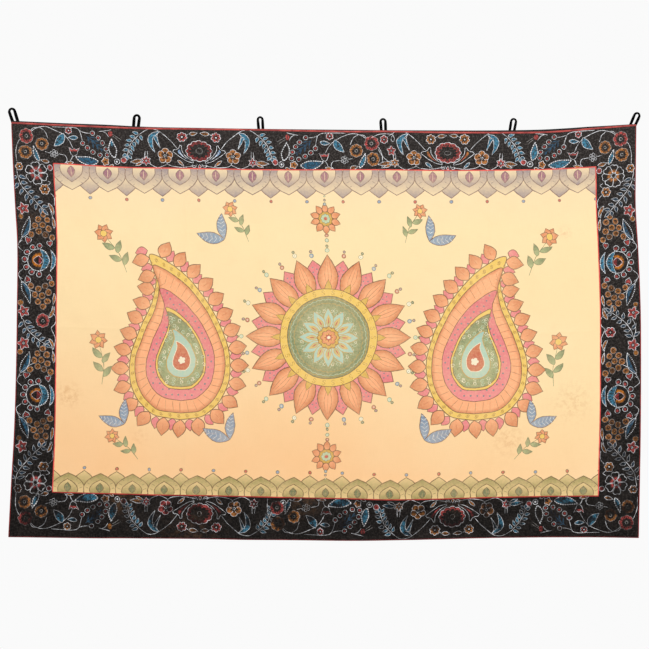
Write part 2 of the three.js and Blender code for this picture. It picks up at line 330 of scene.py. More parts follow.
class Painting:
    """A sheet's flat outline and what is painted on it: later shapes cover earlier ones."""

    def __init__(self, outline, grid, least):
        self.outline = np.asarray(outline, complex)
        self.grid, self.least = grid, least
        self.shapes = []

    def add(self, ring, tint):
        """Keeps a shape if its box meets the sheet's box."""
        if all(mine.max() >= edge.min() and mine.min() <= edge.max()
               for mine, edge in [(ring.real, self.outline.real), (ring.imag, self.outline.imag)]):
            self.shapes.append((ring, tint))

    def cut(self):
        """Triangles of the whole sheet, cut along every shape's edge, with a colour for each corner."""
        points, edges = [], []
        for ring in [self.outline] + [shape[0] for shape in self.shapes]:
            first = len(points)
            points.extend(ring)
            edges.extend((first + i, first + (i + 1) % len(ring)) for i in range(len(ring)))
        points.extend(self.inside_points())
        flat = [Vector((p.real, p.imag)) for p in points]
        made = delaunay_2d_cdt(flat, edges, [], 0, 1e-3, False)
        corners = np.array([complex(*v) for v in made[0]])
        faces = np.array(made[2])
        centres = corners[faces].mean(axis=1)
        keep = winds_round(self.outline, centres)
        faces, centres = faces[keep], centres[keep]
        colours = np.zeros((len(faces), 3, 4))
        order = np.argsort(centres.real)
        sorted_s = centres.real[order]
        for ring, tint in self.shapes:
            low, high = np.searchsorted(sorted_s, (ring.real.min(), ring.real.max()))
            some = order[low:high]
            tall = centres.imag[some]
            some = some[(tall > ring.imag.min()) & (tall < ring.imag.max())]
            some = some[winds_round(ring, centres[some])]
            if tint is BARE:
                colours[some] = 0
            elif len(some):
                laid, under = tint(corners[faces[some]]), colours[some]
                strength = laid[..., 3:] + under[..., 3:] * (1 - laid[..., 3:])
                mixed = laid[..., :3] * laid[..., 3:] + under[..., :3] * under[..., 3:] * (1 - laid[..., 3:])
                colours[some] = np.concatenate([mixed / np.maximum(strength, 1e-6), strength], axis=-1)
        used, faces = np.unique(faces, return_inverse=True)
        return corners[used], faces.reshape(-1, 3), colours

    def inside_points(self):
        s = np.arange(self.outline.real.min() + self.grid / 2, self.outline.real.max(), self.grid)
        t = np.arange(self.outline.imag.min() + self.grid / 2, self.outline.imag.max(), self.grid)
        points = (s[:, None] + 1j * t[None, :]).ravel()
        for a0, d0, a1, d1, width, _ in CREASES:
            start, end = a0 * WIDTH - 1j * d0 * HEIGHT, a1 * WIDTH - 1j * d1 * HEIGHT
            side = 1j * (end - start) / abs(end - start)
            rows = np.array([-2, -0.8, 0, 0.8, 2]) * width
            line = np.linspace(0, 1, 110)[:, None]
            points = np.append(points, (start + (end - start) * line + side * rows).ravel())
        return points[winds_round(self.outline, points) & (off_line(self.outline, points) > self.grid / 4)]


def winds_round(ring, points):
    """Which points lie inside a ring."""
    inside = np.zeros(len(points), bool)
    for a, b in zip(ring, np.roll(ring, -1)):
        crosses = (a.imag > points.imag) != (b.imag > points.imag)
        if a.imag != b.imag:
            at = a.real + (points.imag - a.imag) / (b.imag - a.imag) * (b.real - a.real)
            inside ^= crosses & (points.real < at)
    return inside


class Brush:
    """Draws on a painting in a place of its own: x along the border or to the right, y outwards or up."""
    OUTLINE, STROKE = 0.78, 0.82    # how wide outlines and lines come out, as shares of the widths asked for

    def __init__(self, painting, place, plain=1, mirrored=0, follow=None):
        self.painting, self.place, self.plain, self.mirrored, self.follow = painting, place, plain, mirrored, follow

    def flat(self, z):
        return self.place + self.plain * z + self.mirrored * np.conj(z)

    def spot(self, z):
        """The place on the flat cloth, moved by the seam that the brush follows."""
        flat = self.flat(z)
        return flat if self.follow is None else flat + self.follow(flat)

    def at(self, x, y=0.0, turn=0.0):
        k = np.exp(1j * math.radians(turn))
        return Brush(self.painting, self.flat(x + 1j * y), self.plain * k, self.mirrored * np.conj(k), self.follow)

    def rays(self, count, shift=0.0):
        """Brushes at this one's place, turned all the way round in even steps."""
        return [self.at(0, 0, 360 * (i + shift) / count) for i in range(count)]

    def mirror(self):
        return Brush(self.painting, self.place, -self.mirrored, -self.plain, self.follow)

    def lay(self, ring, tint):
        self.painting.add(waver(spare(self.spot(ring), self.painting.least)), tint)

    def fill(self, ring, near, far=None, middle=0):
        """Fills a ring with one colour, or from near at the middle to far at its rim."""
        if near is BARE or far is None:
            self.lay(ring, BARE if near is BARE else flat_tint(near))
        else:
            self.lay(ring, radial(near, far, self.spot(middle), np.abs(ring - middle).max()))

    def fade(self, ring, near, far, start, end):
        """Fills a ring with near at one end of a run and far at the other."""
        start, end = self.spot(start), self.spot(end)
        self.lay(ring, linear(near, far, start, end - start))

    def faded(self, ring, near, far, start, end, edge):
        """A faded ring in a line."""
        self.fill(grow(ring, 1.4), edge)
        self.fade(grow(ring, -1.4), near, far, start, end)

    def shade(self, ring, rim, inner, depth):
        """Fills a ring that is darker along its rim."""
        tint = from_rim(rim, inner, self.spot(ring), depth)
        for share in (0, 0.5, 1):
            self.lay(grow(ring, -depth * share) if share else ring, tint)

    def outlined(self, ring, near, far=None, line=2.0, edge=None, middle=0):
        """A filled ring in a line, which is brown if no colour is given."""
        self.fill(grow(ring, line / 2), edge or BROWN)
        self.fill(grow(ring, -line / 2), near, far, middle)

    def drawn(self, ring, colour, line=1.9, edge=WHITE, gap=0.0):
        """A line round bare cloth, and a fill that may keep clear of the line."""
        line *= self.OUTLINE
        self.fill(grow(ring, line / 2), edge)
        self.fill(grow(ring, -line / 2), BARE)
        if colour is not BARE:
            self.fill(grow(ring, -line / 2 - gap), colour)

    def line(self, points, width=1.9, colour=WHITE, steps=7):
        """A smooth stroke through the points."""
        self.fill(ribbon(curve(points, steps), self.STROKE * width, 0.7), colour)

    def lines(self, *runs):
        for points in runs:
            self.line(points)

    def notch(self, length, width, count=5):
        """A small slip of bare cloth."""
        self.fill(blade(length, width, count=count), BARE)

    def dot(self, x, y, radius, colour, count):
        self.at(x, y).fill(disc(radius, count), colour)

    def ring(self, x, y, radius, colour, line, edge, count):
        self.at(x, y).outlined(disc(radius, count), colour, line=line, edge=edge)


# ---- Motifs of the border, each on a brush of its own ----
def petals_ring(radius, petals, depth=0.15, steps=6):
    """A scalloped ring, with a petal centred on the x axis."""
    return polar(lambda a: radius * (1 - depth + depth * np.abs(np.cos(petals * a / 2)) ** 0.7), petals * steps)


def points_ring(radius, points, depth=0.5, steps=4):
    """A star's ring, its tips a little rounded."""
    return polar(lambda a: radius * (1 - depth * (1 - np.abs(np.cos(points * a / 2)) ** 2.2)), points * steps)


def oval(ring, wide, high):
    return ring.real * wide + 1j * ring.imag * high


def rosette(b, colour, band, eye, marks):
    """The great flower in the middle of a unit: a painted rim round plain cloth."""
    rim = petals_ring(1, 12, 0.1)
    b.drawn(oval(rim, 45, 36), colour, line=2.2)
    b.fill(oval(petals_ring(1, 12, 0.2), 44 - band, 35 - band), BARE)
    for i in range(marks):
        angle = 2 * math.pi * (i + 0.5) / marks
        spot = complex((43 - band) * math.cos(angle), (34 - band) * math.sin(angle))
        b.at(spot, 0, heading(spot)).notch(band * 0.95, 2.8, 6)
    b.drawn(oval(disc(1, 16), *eye), BARE, line=1.5, edge=ASH)


def trumpet(b, colour, gleam):
    """A long flower whose tube runs from the rosette's foot to a flared mouth."""
    outer = curve([20 + 19j, 42 + 24j, 66 + 39j, 91 + 57j], 5)
    mouth = curve([91 + 57j, 86 + 63j, 77 + 64j, 69 + 69j, 64 + 78j, 59 + 76j], 4)
    inner = curve([59 + 76j, 58 + 60j, 46 + 42j, 33 + 31j, 20 + 24j], 5)
    b.drawn(np.concatenate([outer, mouth[1:-1], inner]), BARE)
    core = curve([38 + 29j, 56 + 40j, 72 + 55j, 67 + 64j, 60 + 52j, 50 + 39j, 38 + 29j], 4)[:-1]
    b.fill(core, colour)
    b.line([44 + 33j, 58 + 45j, 67 + 57j], 2.6, gleam)


def blossom(b, radius, colour, petals=6, eye=WHITE, turn=90):
    """A small scalloped flower with a dark eye."""
    b = b.at(0, 0, turn)
    b.drawn(petals_ring(radius, petals, 0.26), colour)
    for ray in b.rays(petals, 0.5):
        ray.at(radius * 0.3).notch(radius * 0.55, 3.0)
    b.fill(disc(radius * 0.42), BARE)
    b.dot(0, 0, radius * 0.17, eye, 8)


def petalled(b, radius, colour, petals=5, turn=90, eye=WHITE):
    """Round petals, each with its own outline."""
    for i in range(petals):
        petal = b.at(0, 0, turn + 360 * i / petals).at(radius * 0.6)
        petal.drawn(oval(disc(1, 14), radius * 0.42, radius * 0.45), colour, line=1.5)
        for side in (-32, 0, 32):
            petal.at(-radius * 0.3, 0, side).notch(radius * 0.38, 2.6)
    b.fill(petals_ring(radius * 0.36, petals, 0.2), BARE)
    for i in range(5):
        b.dot(radius * 0.15 * np.exp(2j * math.pi * i / 5), 0, radius * 0.06, eye, 6)


def full_rose(b, radius, colour, lobes=8):
    """A round rose with two rings of petals."""
    b.drawn(petals_ring(radius, lobes, 0.12), colour, line=1.8, edge=ASH)
    for i, ray in enumerate(b.rays(2 * lobes)):
        ray.at(radius * 0.5).notch(radius * (0.44 if i % 2 else 0.3), 3.0)
    b.fill(petals_ring(radius * 0.6, lobes, 0.2), BARE)
    b.drawn(disc(radius * 0.2, 10), BARE, line=2.2, edge=ASH)


def star(b, radius, colour, points=5, turn=90, stamens=0):
    if stamens:
        for side in (-4, 4):
            b.line([side, side * 1.15 + stamens * 0.6j, side * 0.9 + stamens * 1j], 1.8)
    b = b.at(0, 0, turn)
    b.drawn(points_ring(radius, points, 0.46), colour)
    b.fill(disc(radius * 0.3), BARE)
    b.drawn(disc(radius * 0.14, 8), BARE, line=1.5)


def open_flower(b, radius, colour, petals):
    """Heart-tipped petals in white line, rayed with colour from the eye."""
    half = np.array([0.2 + 0.05j, 0.44 + 0.22j, 0.7 + 0.36j, 0.88 + 0.35j, 1.0 + 0.2j, 0.95 + 0.03j])
    ring = np.concatenate([half, np.conj(half)[::-1]]) * radius
    clear = (*colour[:3], 0.0)
    ray = blade(radius * 0.44, 5.0, fullness=0.7, count=6) + radius * 0.28
    for petal in b.rays(petals, 0.1):
        petal.drawn(ring, BARE, line=2.2)
        for side in (-15, -5, 5, 15):
            petal.at(0, 0, side).fade(ray, colour, clear, radius * 0.4, radius * 0.74)
    b.fill(disc(radius * 0.2), BARE)
    b.drawn(disc(radius * 0.17, 10), BARE, line=1.8, edge=ASH)


def leaf(b, length, width, colour, bend=0.4, gap=0.3):
    """A leaf, with veins if it is wide."""
    b.drawn(blade(length, width, bend), colour, line=1.8, gap=gap)
    if width > 12:
        b.fill(blade(length * 0.66, 2.0, bend, count=7) + length * 0.14, BARE)
        for i in range(2, 6):
            for side in (-38, 38):
                b.at(length * i / 7.5, 0, side).notch(width * 0.42, 1.8)


def beads(b, line, pitch=7.6, radius=2.1):
    """White dots along a line."""
    for spot in on(line, np.arange(pitch / 2, ways(line)[-1], pitch)):
        b.dot(spot, 0, radius, WHITE, 6)


def beaded(b, length, width, bend, colour, share=1.0):
    """A leaf between two beaded lines, filled over a share of it from the tip."""
    ring = blade(length, width, bend, count=18)
    middle = len(ring) // 2
    tip = ring[middle]
    if share:
        b.fill(tip + (grow(ring, -2.6) - tip) * share, colour)
        for spot in blade(length, 0.1, bend, count=18)[4:16:2]:
            b.at(spot, 0, 30).notch(width * 0.4, 1.6)
    for line in (ring[:middle + 1], np.append(ring[middle:], ring[0])):
        b.fill(ribbon(line, 1.2, 0.8), WHITE)
        beads(b, line)


def leaflets(b, stem, pairs, length, width, colour):
    """A stem with pairs of small leaves that part from it."""
    path = curve(stem, 8)
    for i, way in enumerate(np.linspace(0.05, 0.93, pairs) * ways(path)[-1]):
        spot, ahead = on(path, way), on(path, way + 2)
        for side in (1, -1):
            small = b.at(spot, 0, heading(ahead - spot) + side * (64 - 12 * i / pairs)).at(4.4)
            size = length * (1 - 0.22 * i / pairs + 0.06 * math.sin(3.1 * i + side))
            small.drawn(blade(size, width, -0.2 * side, fullness=0.7, count=8), colour, line=1.3)
    end = b.at(path[-1], 0, heading(path[-1] - path[-3]))
    end.drawn(blade(length * 0.9, width, fullness=0.7, count=9), colour, line=1.4)
    b.fill(ribbon(path, 1.8, 0.7), WHITE)


def horns(b, colour):
    """Two curved leaves that rise from one foot, the small one on the inside of the big one."""
    b.line([133 + 124j, 142 + 113j, 140 + 97j, 134 + 71j], 1.6)
    big = np.concatenate([curve([134 + 125j, 158 + 119j, 174 + 100j, 168 + 74j, 151 + 52j], 5),
                          curve([151 + 52j, 157 + 76j, 157 + 98j, 146 + 112j], 5)[1:]])
    b.drawn(big, colour, line=1.7)
    small = np.concatenate([curve([156 + 108j, 146 + 90j, 132 + 68j], 5),
                            curve([132 + 68j, 137 + 86j, 145 + 108j], 5)[1:]])
    b.drawn(small, colour, line=1.5)


def wreath(b):
    """Ringed berries round a feathery dim leaf."""
    dim = (*rgb(58, 98, 126), 0.72)
    b.at(388, 103, 221).fill(blade(82, 5.5, 0.25, count=9), dim)
    for share, turn, size in [(0.12, 185, 34), (0.12, 258, 30), (0.32, 190, 36), (0.32, 254, 34), (0.55, 196, 28),
                              (0.55, 248, 27), (0.78, 205, 18), (0.78, 240, 18)]:
        b.at(388, 103, 221).at(82 * share, 0, turn - 221).fill(blade(size, 5.2, 0.5, fullness=1.1, count=7), dim)
    for spot in (364 + 111j, 344 + 95j, 330 + 79j, 318 + 60j, 315 + 39j, 340 + 37j, 363 + 47j, 381 + 59j, 397 + 74j):
        b.drawn(disc(7.6, 12) + spot, BARE, line=1.5)
        b.dot(spot, 0, 3.9, RED, 8)


def tulip(b, colour):
    """A small three-tipped flower on its stalk."""
    b.line([430 + 30j, 436 + 22j, 440 + 12j])
    ring = np.array([430 + 28j, 419 + 34j, 416 + 44j, 409 + 57j, 420 + 50j, 428 + 54j, 435 + 49j, 445 + 57j,
                     441 + 43j, 438 + 34j])
    b.drawn(ring, BARE, line=1.7)
    b.fill(grow(ring, -1.4)[2:9], colour)


def bud(b, colour):
    """A half-open bud between two thin lines, with its stamens."""
    b.lines([340 + 118j, 324 + 121j, 310 + 123j, 300 + 126j], [330 + 120j, 318 + 114j, 308 + 101j])
    b.fill(oval(disc(1, 10), 7.5, 9.5) + 302 + 111j, colour)
    b.line([296 + 111j, 284 + 104j, 268 + 95j], 1.6, ASH)
    b.line([294 + 103j, 284 + 97j, 274 + 88j], 1.6, ASH)


def knot(b, radius):
    """Seven small rings, one in the middle."""
    for i in range(7):
        spot = radius * (0.66 if i else 0.0) * np.exp(1j * (math.pi * i / 3 + 0.4))
        b.drawn(disc(radius * 0.28, 9) + spot, BARE, line=1.3)


def heart(b, size, colour):
    """A heart-shaped bud whose point is at 0 and whose lobes lie along x."""
    ring = np.array([0, 0.45 - 0.42j, 0.8 - 0.52j, 1.02 - 0.3j, 0.9, 1.02 + 0.3j, 0.8 + 0.52j, 0.45 + 0.42j]) * size
    b.drawn(ring, BARE, line=1.8)
    b.fill(ring * 0.7 + size * 0.16, colour)


def grape(b, x, y, radius):
    """A ringed berry, some bright and some nearly bare."""
    colour = (OCHRE, ORANGE, ORANGE, ORANGE, (*rgb(170, 112, 62), 0.5))[(7 * x + 3 * y) % 5]
    b.drawn(disc(radius, 13) + complex(x, y), colour, line=1.5, edge=ASH)
    b.fill(disc(radius * 0.5, 8) + complex(x, y), BARE)
    b.dot(x - radius * 0.1, y, radius * 0.24, ORANGE, 6)


def fruit(b):
    """A ringed fruit in a leaf, with berries on its outer side; y is outwards."""
    outer = curve([36 - 41j, 20 - 54j, 0 - 58j, -20 - 54j, -36 - 41j], 5)
    cheek = np.concatenate([outer, curve([-36 - 41j, -20 - 45j, 0 - 46j, 20 - 45j, 36 - 41j], 5)[1:-1]])
    b.drawn(cheek, BLUE, line=1.5)
    beads(b, outer, 6.5, 1.8)
    for i in range(7):
        spot = 48 * np.exp(1j * math.radians(-4 + 31 * i))
        b.line([spot * 0.76, spot * 0.86], 1.8, steps=3)
        b.drawn(disc(8.8, 13) + spot, BARE, line=1.8)
        b.dot(spot + 0.6 - 1.2j, 0, 5.2, RED, 8)
    b.drawn(disc(37, 30), BARE, line=2.2)
    rays = (*rgb(232, 140, 44), 0.95)
    ray = blade(14.5, 5.4, count=6) + 13.5
    for i in range(26):
        b.at(0, 0, -22 + 224 * i / 25).fade(ray, rays, (*rays[:3], 0.25), 14, 28)
    seed = np.array([15, 11 + 9j, 3 + 18j, -3 + 18j, -11 + 9j, -15, -10 - 8j, -3 - 14j, 3 - 14j, 10 - 8j])
    b.drawn(seed, WINE, line=1.3)
    b.fill(grow(seed, -1.6)[:6], BARE)
    rim = curve([-38 - 4j, -26 - 26j, 0 - 38j, 26 - 26j, 38 - 4j], 6)
    cup = np.concatenate([rim, curve([38 - 4j, 20 - 12j, 0 - 17j, -20 - 12j, -38 - 4j], 6)[1:-1]])
    b.fill(grow(cup, 2.5), BARE)
    b.drawn(cup, BLUE, line=1.3)
    for i in range(-3, 4):
        b.at(i * 9, -15 - 8 * math.cos(i / 2.2), 90 + 12 * i).notch(-14, 3.4)
    beads(b, rim, 6.0, 2.0)


# ---- The order of the motifs along the border ----
def long_unit(b, reach, horn, gleam, small, petal, narrow, blaze, almond, feather=1.0, bloom=RED,
              roses=(RED, ORANGE)):
    """Half of a unit of the top or bottom border: x runs away from the rosette, y outwards from the seam."""
    b.lines([170 + 14j, 151 + 4j, 136 + 3j, 109 + 14j], [109 + 14j, 92 + 6j, 58 + 3j, 24 + 9j, 12 + 12j])
    b.line([109 + 14j, 111 + 22j], steps=3)
    b.lines([8 + 16j, 13 + 6j, 21 + 5j, 25 + 10j, 21 + 14j],
            [76 + 68j, 98 + 94j, 132 + 122j, 152 + 132j, 175 + 132j, 203 + 115j])
    trumpet(b, horn, gleam)
    leaf(b.at(76, 27, 222), 34, 10, narrow, bend=0.25, gap=0.8)
    leaf(b.at(34, 118, 176), 32, 13, OCHRE, bend=-0.3, gap=0.8)
    b.line([44 + 112j, 36 + 117j], 1.8, steps=3)
    blossom(b.at(58, 107), 17, small, 7)
    petalled(b.at(116, 42), 25, petal)
    horns(b, BLUE)
    star(b.at(182, 24), 16, blaze, 6, stamens=34)
    if almond is not BARE:
        leaf(b.at(196, 26, -10), 46, 15, almond, bend=0.3, gap=1.6)
        leaf(b.at(195, 18, -24), 30, 9, almond, bend=0.2, gap=0.6)
    if reach < 210:
        star(b.at(193, 65), 17, RED)
        blossom(b.at(218, 104), 14, RED, 6)
        b.drawn(blade(26, 12, fullness=0.7) * 1j + 187 + 96j, BARE, line=1.6)
        b.lines([262 + 108j, 240 + 119j, 214 + 123j, 187 + 122j], [237 + 68j, 226 + 49j, 206 + 30j, 196 + 24j])
        return
    leaflets(b, [200 + 118j, 229 + 86j, 242 + 58j, 247 + 40j], 6, 23, 10, BLUE)
    b.at(259, 25).drawn(disc(9.5, 10), RED, line=2.0)
    b.at(281, 19).drawn(disc(9, 10), BARE, line=2.2)
    b.dot(281, 19, 3.6, WHITE, 8)
    if reach < 320:
        return
    beaded(b.at(288, 31, 80), 68, 25, 0.35, BLUE, feather)
    b.drawn(points_ring(14, 5, 0.3) + 322 + 17j, ORANGE)
    b.dot(322, 17, 3.2, NIGHT, 7)
    leaf(b.at(294, 8, -20), 20, 8, ORANGE, gap=0.6)
    wreath(b)
    bud(b, bloom)
    b.lines([500 + 125j, 461 + 125j, 425 + 125j, 407 + 116j, 397 + 82j], [407 + 116j, 390 + 111j, 374 + 110j],
            [578 + 100j, 553 + 118j, 522 + 124j, 489 + 113j, 461 + 98j, 443 + 79j, 432 + 56j],
            [543 + 120j, 526 + 108j, 517 + 84j])
    beaded(b.at(345, 15, 8), 86, 29, 0.55, NAVY if narrow is ORANGE and horn is not RED else BLUE)
    leaf(b.at(430, 8, -4), 30, 9, ORANGE, gap=0.8)
    tulip(b, RED)
    blossom(b.at(446, 114), 12, bloom, 6)
    leaf(b.at(414, 94, -6), 36, 13, BLUE, bend=0.3)
    leaf(b.at(463, 103, -54), 60, 25, BLUE, bend=0.8)
    knot(b.at(497, 34), 15)
    b.line([482 + 33j, 470 + 31j, 457 + 28j, 452 + 14j, 461 + 2j])
    b.line([512 + 36j, 526 + 40j], steps=3)
    corner_roses(b, *roses)


def corner_roses(b, outer, inner):
    """The three roses in a corner."""
    b.lines([574 + 106j, 566 + 116j, 553 + 120j], [613 + 78j, 622 + 60j, 627 + 36j, 626 + 4j])
    full_rose(b.at(590, 90), 25, outer)
    full_rose(b.at(537, 65), 22, ORANGE)
    full_rose(b.at(595, 36), 23, inner, 7)
    beaded(b.at(548, 6, 68), 56, 15, 0.3, BLUE, 1.0)
    leaf(b.at(514, 4, 14), 32, 13, ORANGE, bend=0.3, gap=1.2)


def half_leaf(b, length, width, colour, bend):
    """A long leaf, painted on its inner half only, with a beaded outer line."""
    ring = blade(length, width, bend, count=16)
    middle = len(ring) // 2
    spine = blade(length, 0.1, bend, count=16)[:middle + 1]
    inner = (spine * 0.75 + ring[::-1][:middle + 1] * 0.25)[::-1]
    b.fill(grow(np.concatenate([ring[:middle + 1], inner]), -1.2), colour)
    b.fill(ribbon(ring[:middle + 1], 1.8, 0.7), WHITE)
    beads(b, np.append(ring[middle:], ring[0]), 6.2, 1.7)


def side_unit(b, corner, rays, dim):
    """Half of a unit of a side border: x runs away from the fruit, y outwards from the seam."""
    b.lines([57 + 130j, 83 + 115j, 99 + 94j, 108 + 75j], [30 + 116j, 44 + 132j, 57 + 130j, 66 + 118j])
    b.line([68 + 24j, 82 + 20j], steps=3)
    heart(b.at(54, 103, -14), 22, RED)
    heart(b.at(46, 24, 8), 20, RED)
    half_leaf(b.at(74, 121, -23), 84, 24, NAVY if dim is DIM else DIM, 0.35)
    for x, y in [(156, 45), (139, 63), (137, 31), (119, 49), (117, 74), (107, 28), (97, 62), (87, 40), (86, 88),
                 (78, 17)]:
        grape(b, x, y, 10.4)
    b.drawn(disc(9, 11) + 145 + 122j, OCHRE, line=1.5, edge=ASH)
    leaf(b.at(109, 8, 6), 44, 10, ORANGE, bend=0.3, gap=0.8)
    b.line([152 + 12j, 166 + 16j, 176 + 12j])
    leaf(b.at(192, 25, 206), 44, 11, ORANGE, bend=-0.6, gap=0.8)
    star(b.at(173, 112), 22, RED)
    if not corner:
        return
    leaflets(b, [290 + 127j, 262 + 121j, 238 + 106j, 214 + 84j, 193 + 65j, 171 + 43j], 7, 29, 10.5, dim)
    b.line([312 + 116j, 303 + 128j, 290 + 127j])
    blossom(b.at(240, 35), 17, ORANGE, 6)
    b.lines([253 + 24j, 262 + 14j, 268 + 24j], [230 + 18j, 218 + 7j, 205 + 3j, 186 + 5j])
    open_flower(b.at(294, 60), 38, rays, 6 if rays is RED else 7)
    blossom(b.at(315, 118), 14, ORANGE, 6)
    b.drawn(disc(9, 10) + 314 + 12j, RED, gap=1.0)


def side_middle(b, rose, dim):
    """What fills the middle of a side border, between its two fruits."""
    b.line([176 + 12j, 190 + 2j, 214 + 4j, 228 + 16j, 252 + 4j, 278 + 3j, 300 + 12j])
    if rose:
        b.line([192 + 118j, 198 + 118j, 202 + 112j])
        leaflets(b, [202 + 112j, 222 + 104j, 245 + 88j, 266 + 62j, 283 + 36j], 6, 27, 10, dim)
        full_rose(b.at(203, 46), 24, RED, 8)
        return
    b.line([192 + 108j, 212 + 118j, 240 + 120j, 262 + 114j])
    leaflets(b, [260 + 114j, 235 + 107j, 209 + 90j, 191 + 69j, 166 + 34j], 6, 27, 10, dim)
    blossom(b.at(236, 34), 17, RED, 6, ASH)


def top_seam(p):
    return -1j * brow(p.real)


def bottom_seam(p):
    return -1j * hem(p.real)


def left_seam(p):
    return seam_left(-p.imag)


def right_seam(p):
    return seam_right(-p.imag)


def paint_border(painting):
    """The whole border's design, of which each strip keeps what falls on it."""
    pale = (ICE, WHITE, RED, ORANGE, ORANGE, RED, ORANGE)
    warm = (ORANGE, RED, ORANGE, ORANGE, BLUE)
    for s, left, right, first, second, rim, band, eye, marks in [
        (640, 600, 600, (*pale, 0.45), (*pale, 0.0), WINE, 9, (11, 11), 24),
        (1490, 205, 600, (*warm, ORANGE, ORANGE), (*warm, RED, ORANGE), RED, 11, (11, 7), 40),
    ]:
        unit = Brush(painting, s, follow=top_seam)
        long_unit(unit.mirror(), left, *first)
        long_unit(unit, right, *second)
        rosette(unit.at(0, 60), rim, band, eye, marks)
        leaf(unit.at(0, 2, 90), 14, 9, RED, 0)
    for s, left, right, first, second, band in [
        (644, 600, 300, (RED, WINE, RED, RED, ORANGE, RED, ORANGE, 1.0, OCHRE),
         (RED, WINE, RED, ORANGE, ORANGE, RED, BARE), 9),
        (1500, 600, 600, (RED, WINE, ORANGE, OCHRE, ORANGE, ORANGE, BLUE, 1.0, RED, (ORANGE, RED)),
         (RED, WINE, ORANGE, ORANGE, ORANGE, RED, BLUE, 0.0), 8),
    ]:
        unit = Brush(painting, s, 0, 1, bottom_seam)
        long_unit(unit.mirror(), left, *first)
        long_unit(unit, right, *second)
        rosette(unit.at(0, 62), RED, band, (7, 9), 12)
        leaf(unit.at(0, 2, 90), 15, 9, OCHRE, 0)
    for seam, out in [(left_seam, 1), (right_seam, -1)]:
        rays = (RED, RED) if out > 0 else (ORANGE, RED)
        dim = DIM if out > 0 else (*DIM[:3], 0.35)
        for t, upper, lower in [(463, True, False), (917, False, True)]:
            unit = Brush(painting, -1j * t, 1j * out, follow=seam)
            up, down = (unit, unit.mirror()) if out > 0 else (unit.mirror(), unit)
            side_unit(up, upper, rays[0], dim)
            side_unit(down, lower, rays[1], dim)
            fruit(unit.at(0, 63))
            if upper:
                side_middle(down, out > 0, dim)


# ---- The panel's design: a medallion between two cones, over rows of lappets ----
PANEL_MIDDLE = 1066 - 706j
FRIEZE_START, FRIEZE_WIDTH = 138, 1858
TERRA = rgb(250, 172, 124)
CLAY = rgb(208, 122, 80)
BROWN = rgb(100, 56, 38)
GOLD = rgb(238, 198, 96)
STRAW = rgb(196, 150, 62)
SAGE = rgb(172, 184, 134)
MOSS = rgb(100, 118, 84)
AQUA = rgb(190, 214, 186)
CREAM = rgb(244, 236, 208)
PINK = rgb(238, 138, 144)
ROSE = rgb(222, 106, 120)
TEAL = rgb(84, 128, 132)
SLATE = rgb(132, 160, 184)
CHALK = rgb(226, 232, 232)
GARNET = rgb(196, 92, 80)
PLUM = rgb(150, 96, 120)
REED = rgb(108, 104, 62)
UMBER = rgb(168, 120, 50)
RUST = rgb(178, 106, 72)
MINT = rgb(150, 196, 186)


def dotted(b, ring, step):
    """A pink shape with dots in staggered rows, clear of its line."""
    b.outlined(ring, PINK, ROSE, line=2.2)
    s = np.arange(ring.real.min(), ring.real.max(), step)
    t = np.arange(ring.imag.min(), ring.imag.max(), step * 0.87)
    rows = np.array([x + (step / 2 if j % 2 else 0) + 1j * y for j, y in enumerate(t) for x in s])
    for spot in rows[winds_round(ring, rows) & (off_line(ring, rows) > step * 0.42)]:
        b.dot(spot, 0, 3.0, TEAL, 7)


def lotus(b, length, width):
    """A broad shaded petal with drawn veins."""
    ring = blade(length, width, fullness=0.86, count=20)
    b.fill(grow(ring, 1.4), BROWN)
    b.shade(grow(ring, -1.8), CLAY, TERRA, width * 0.24)
    for side in (-1, 0, 1):
        b.line([length * 0.2 + side * width * 0.06j, length * 0.5 + side * width * 0.17j,
                length * 0.78 + side * width * 0.1j], 2.0, RUST)
    small = blade(length * 0.42, width * 0.34, count=10)
    b.outlined(small, GOLD, STRAW, line=1.8)


def bead(b, x, y, radius, colour):
    """A small ringed disc with an eye."""
    b.ring(x, y, radius, colour, 1.6, MOSS, 12)
    b.dot(x, y, radius * 0.42, CREAM, 8)
    b.dot(x, y, radius * 0.18, BROWN, 6)


def curl(b, size, colour, turns, width):
    """A thin spiral."""
    angle = np.linspace(0, turns * 2 * math.pi, int(turns * 7))
    b.fill(ribbon(size * (1 - 0.78 * angle / angle[-1]) * np.exp(1j * angle) - size, width, 0.5), colour)


def wavy(b, radius, height, waves, colour):
    """A closed scalloped line round the brush's place."""
    count = waves * 4
    angle = np.arange(count + 1) * 2 * math.pi / count
    path = (radius + height * np.cos(waves * angle)) * np.exp(1j * angle)
    for part in (path[:count // 2 + 1], path[count // 2:]):
        b.fill(ribbon(part, 1.8, 1), colour)


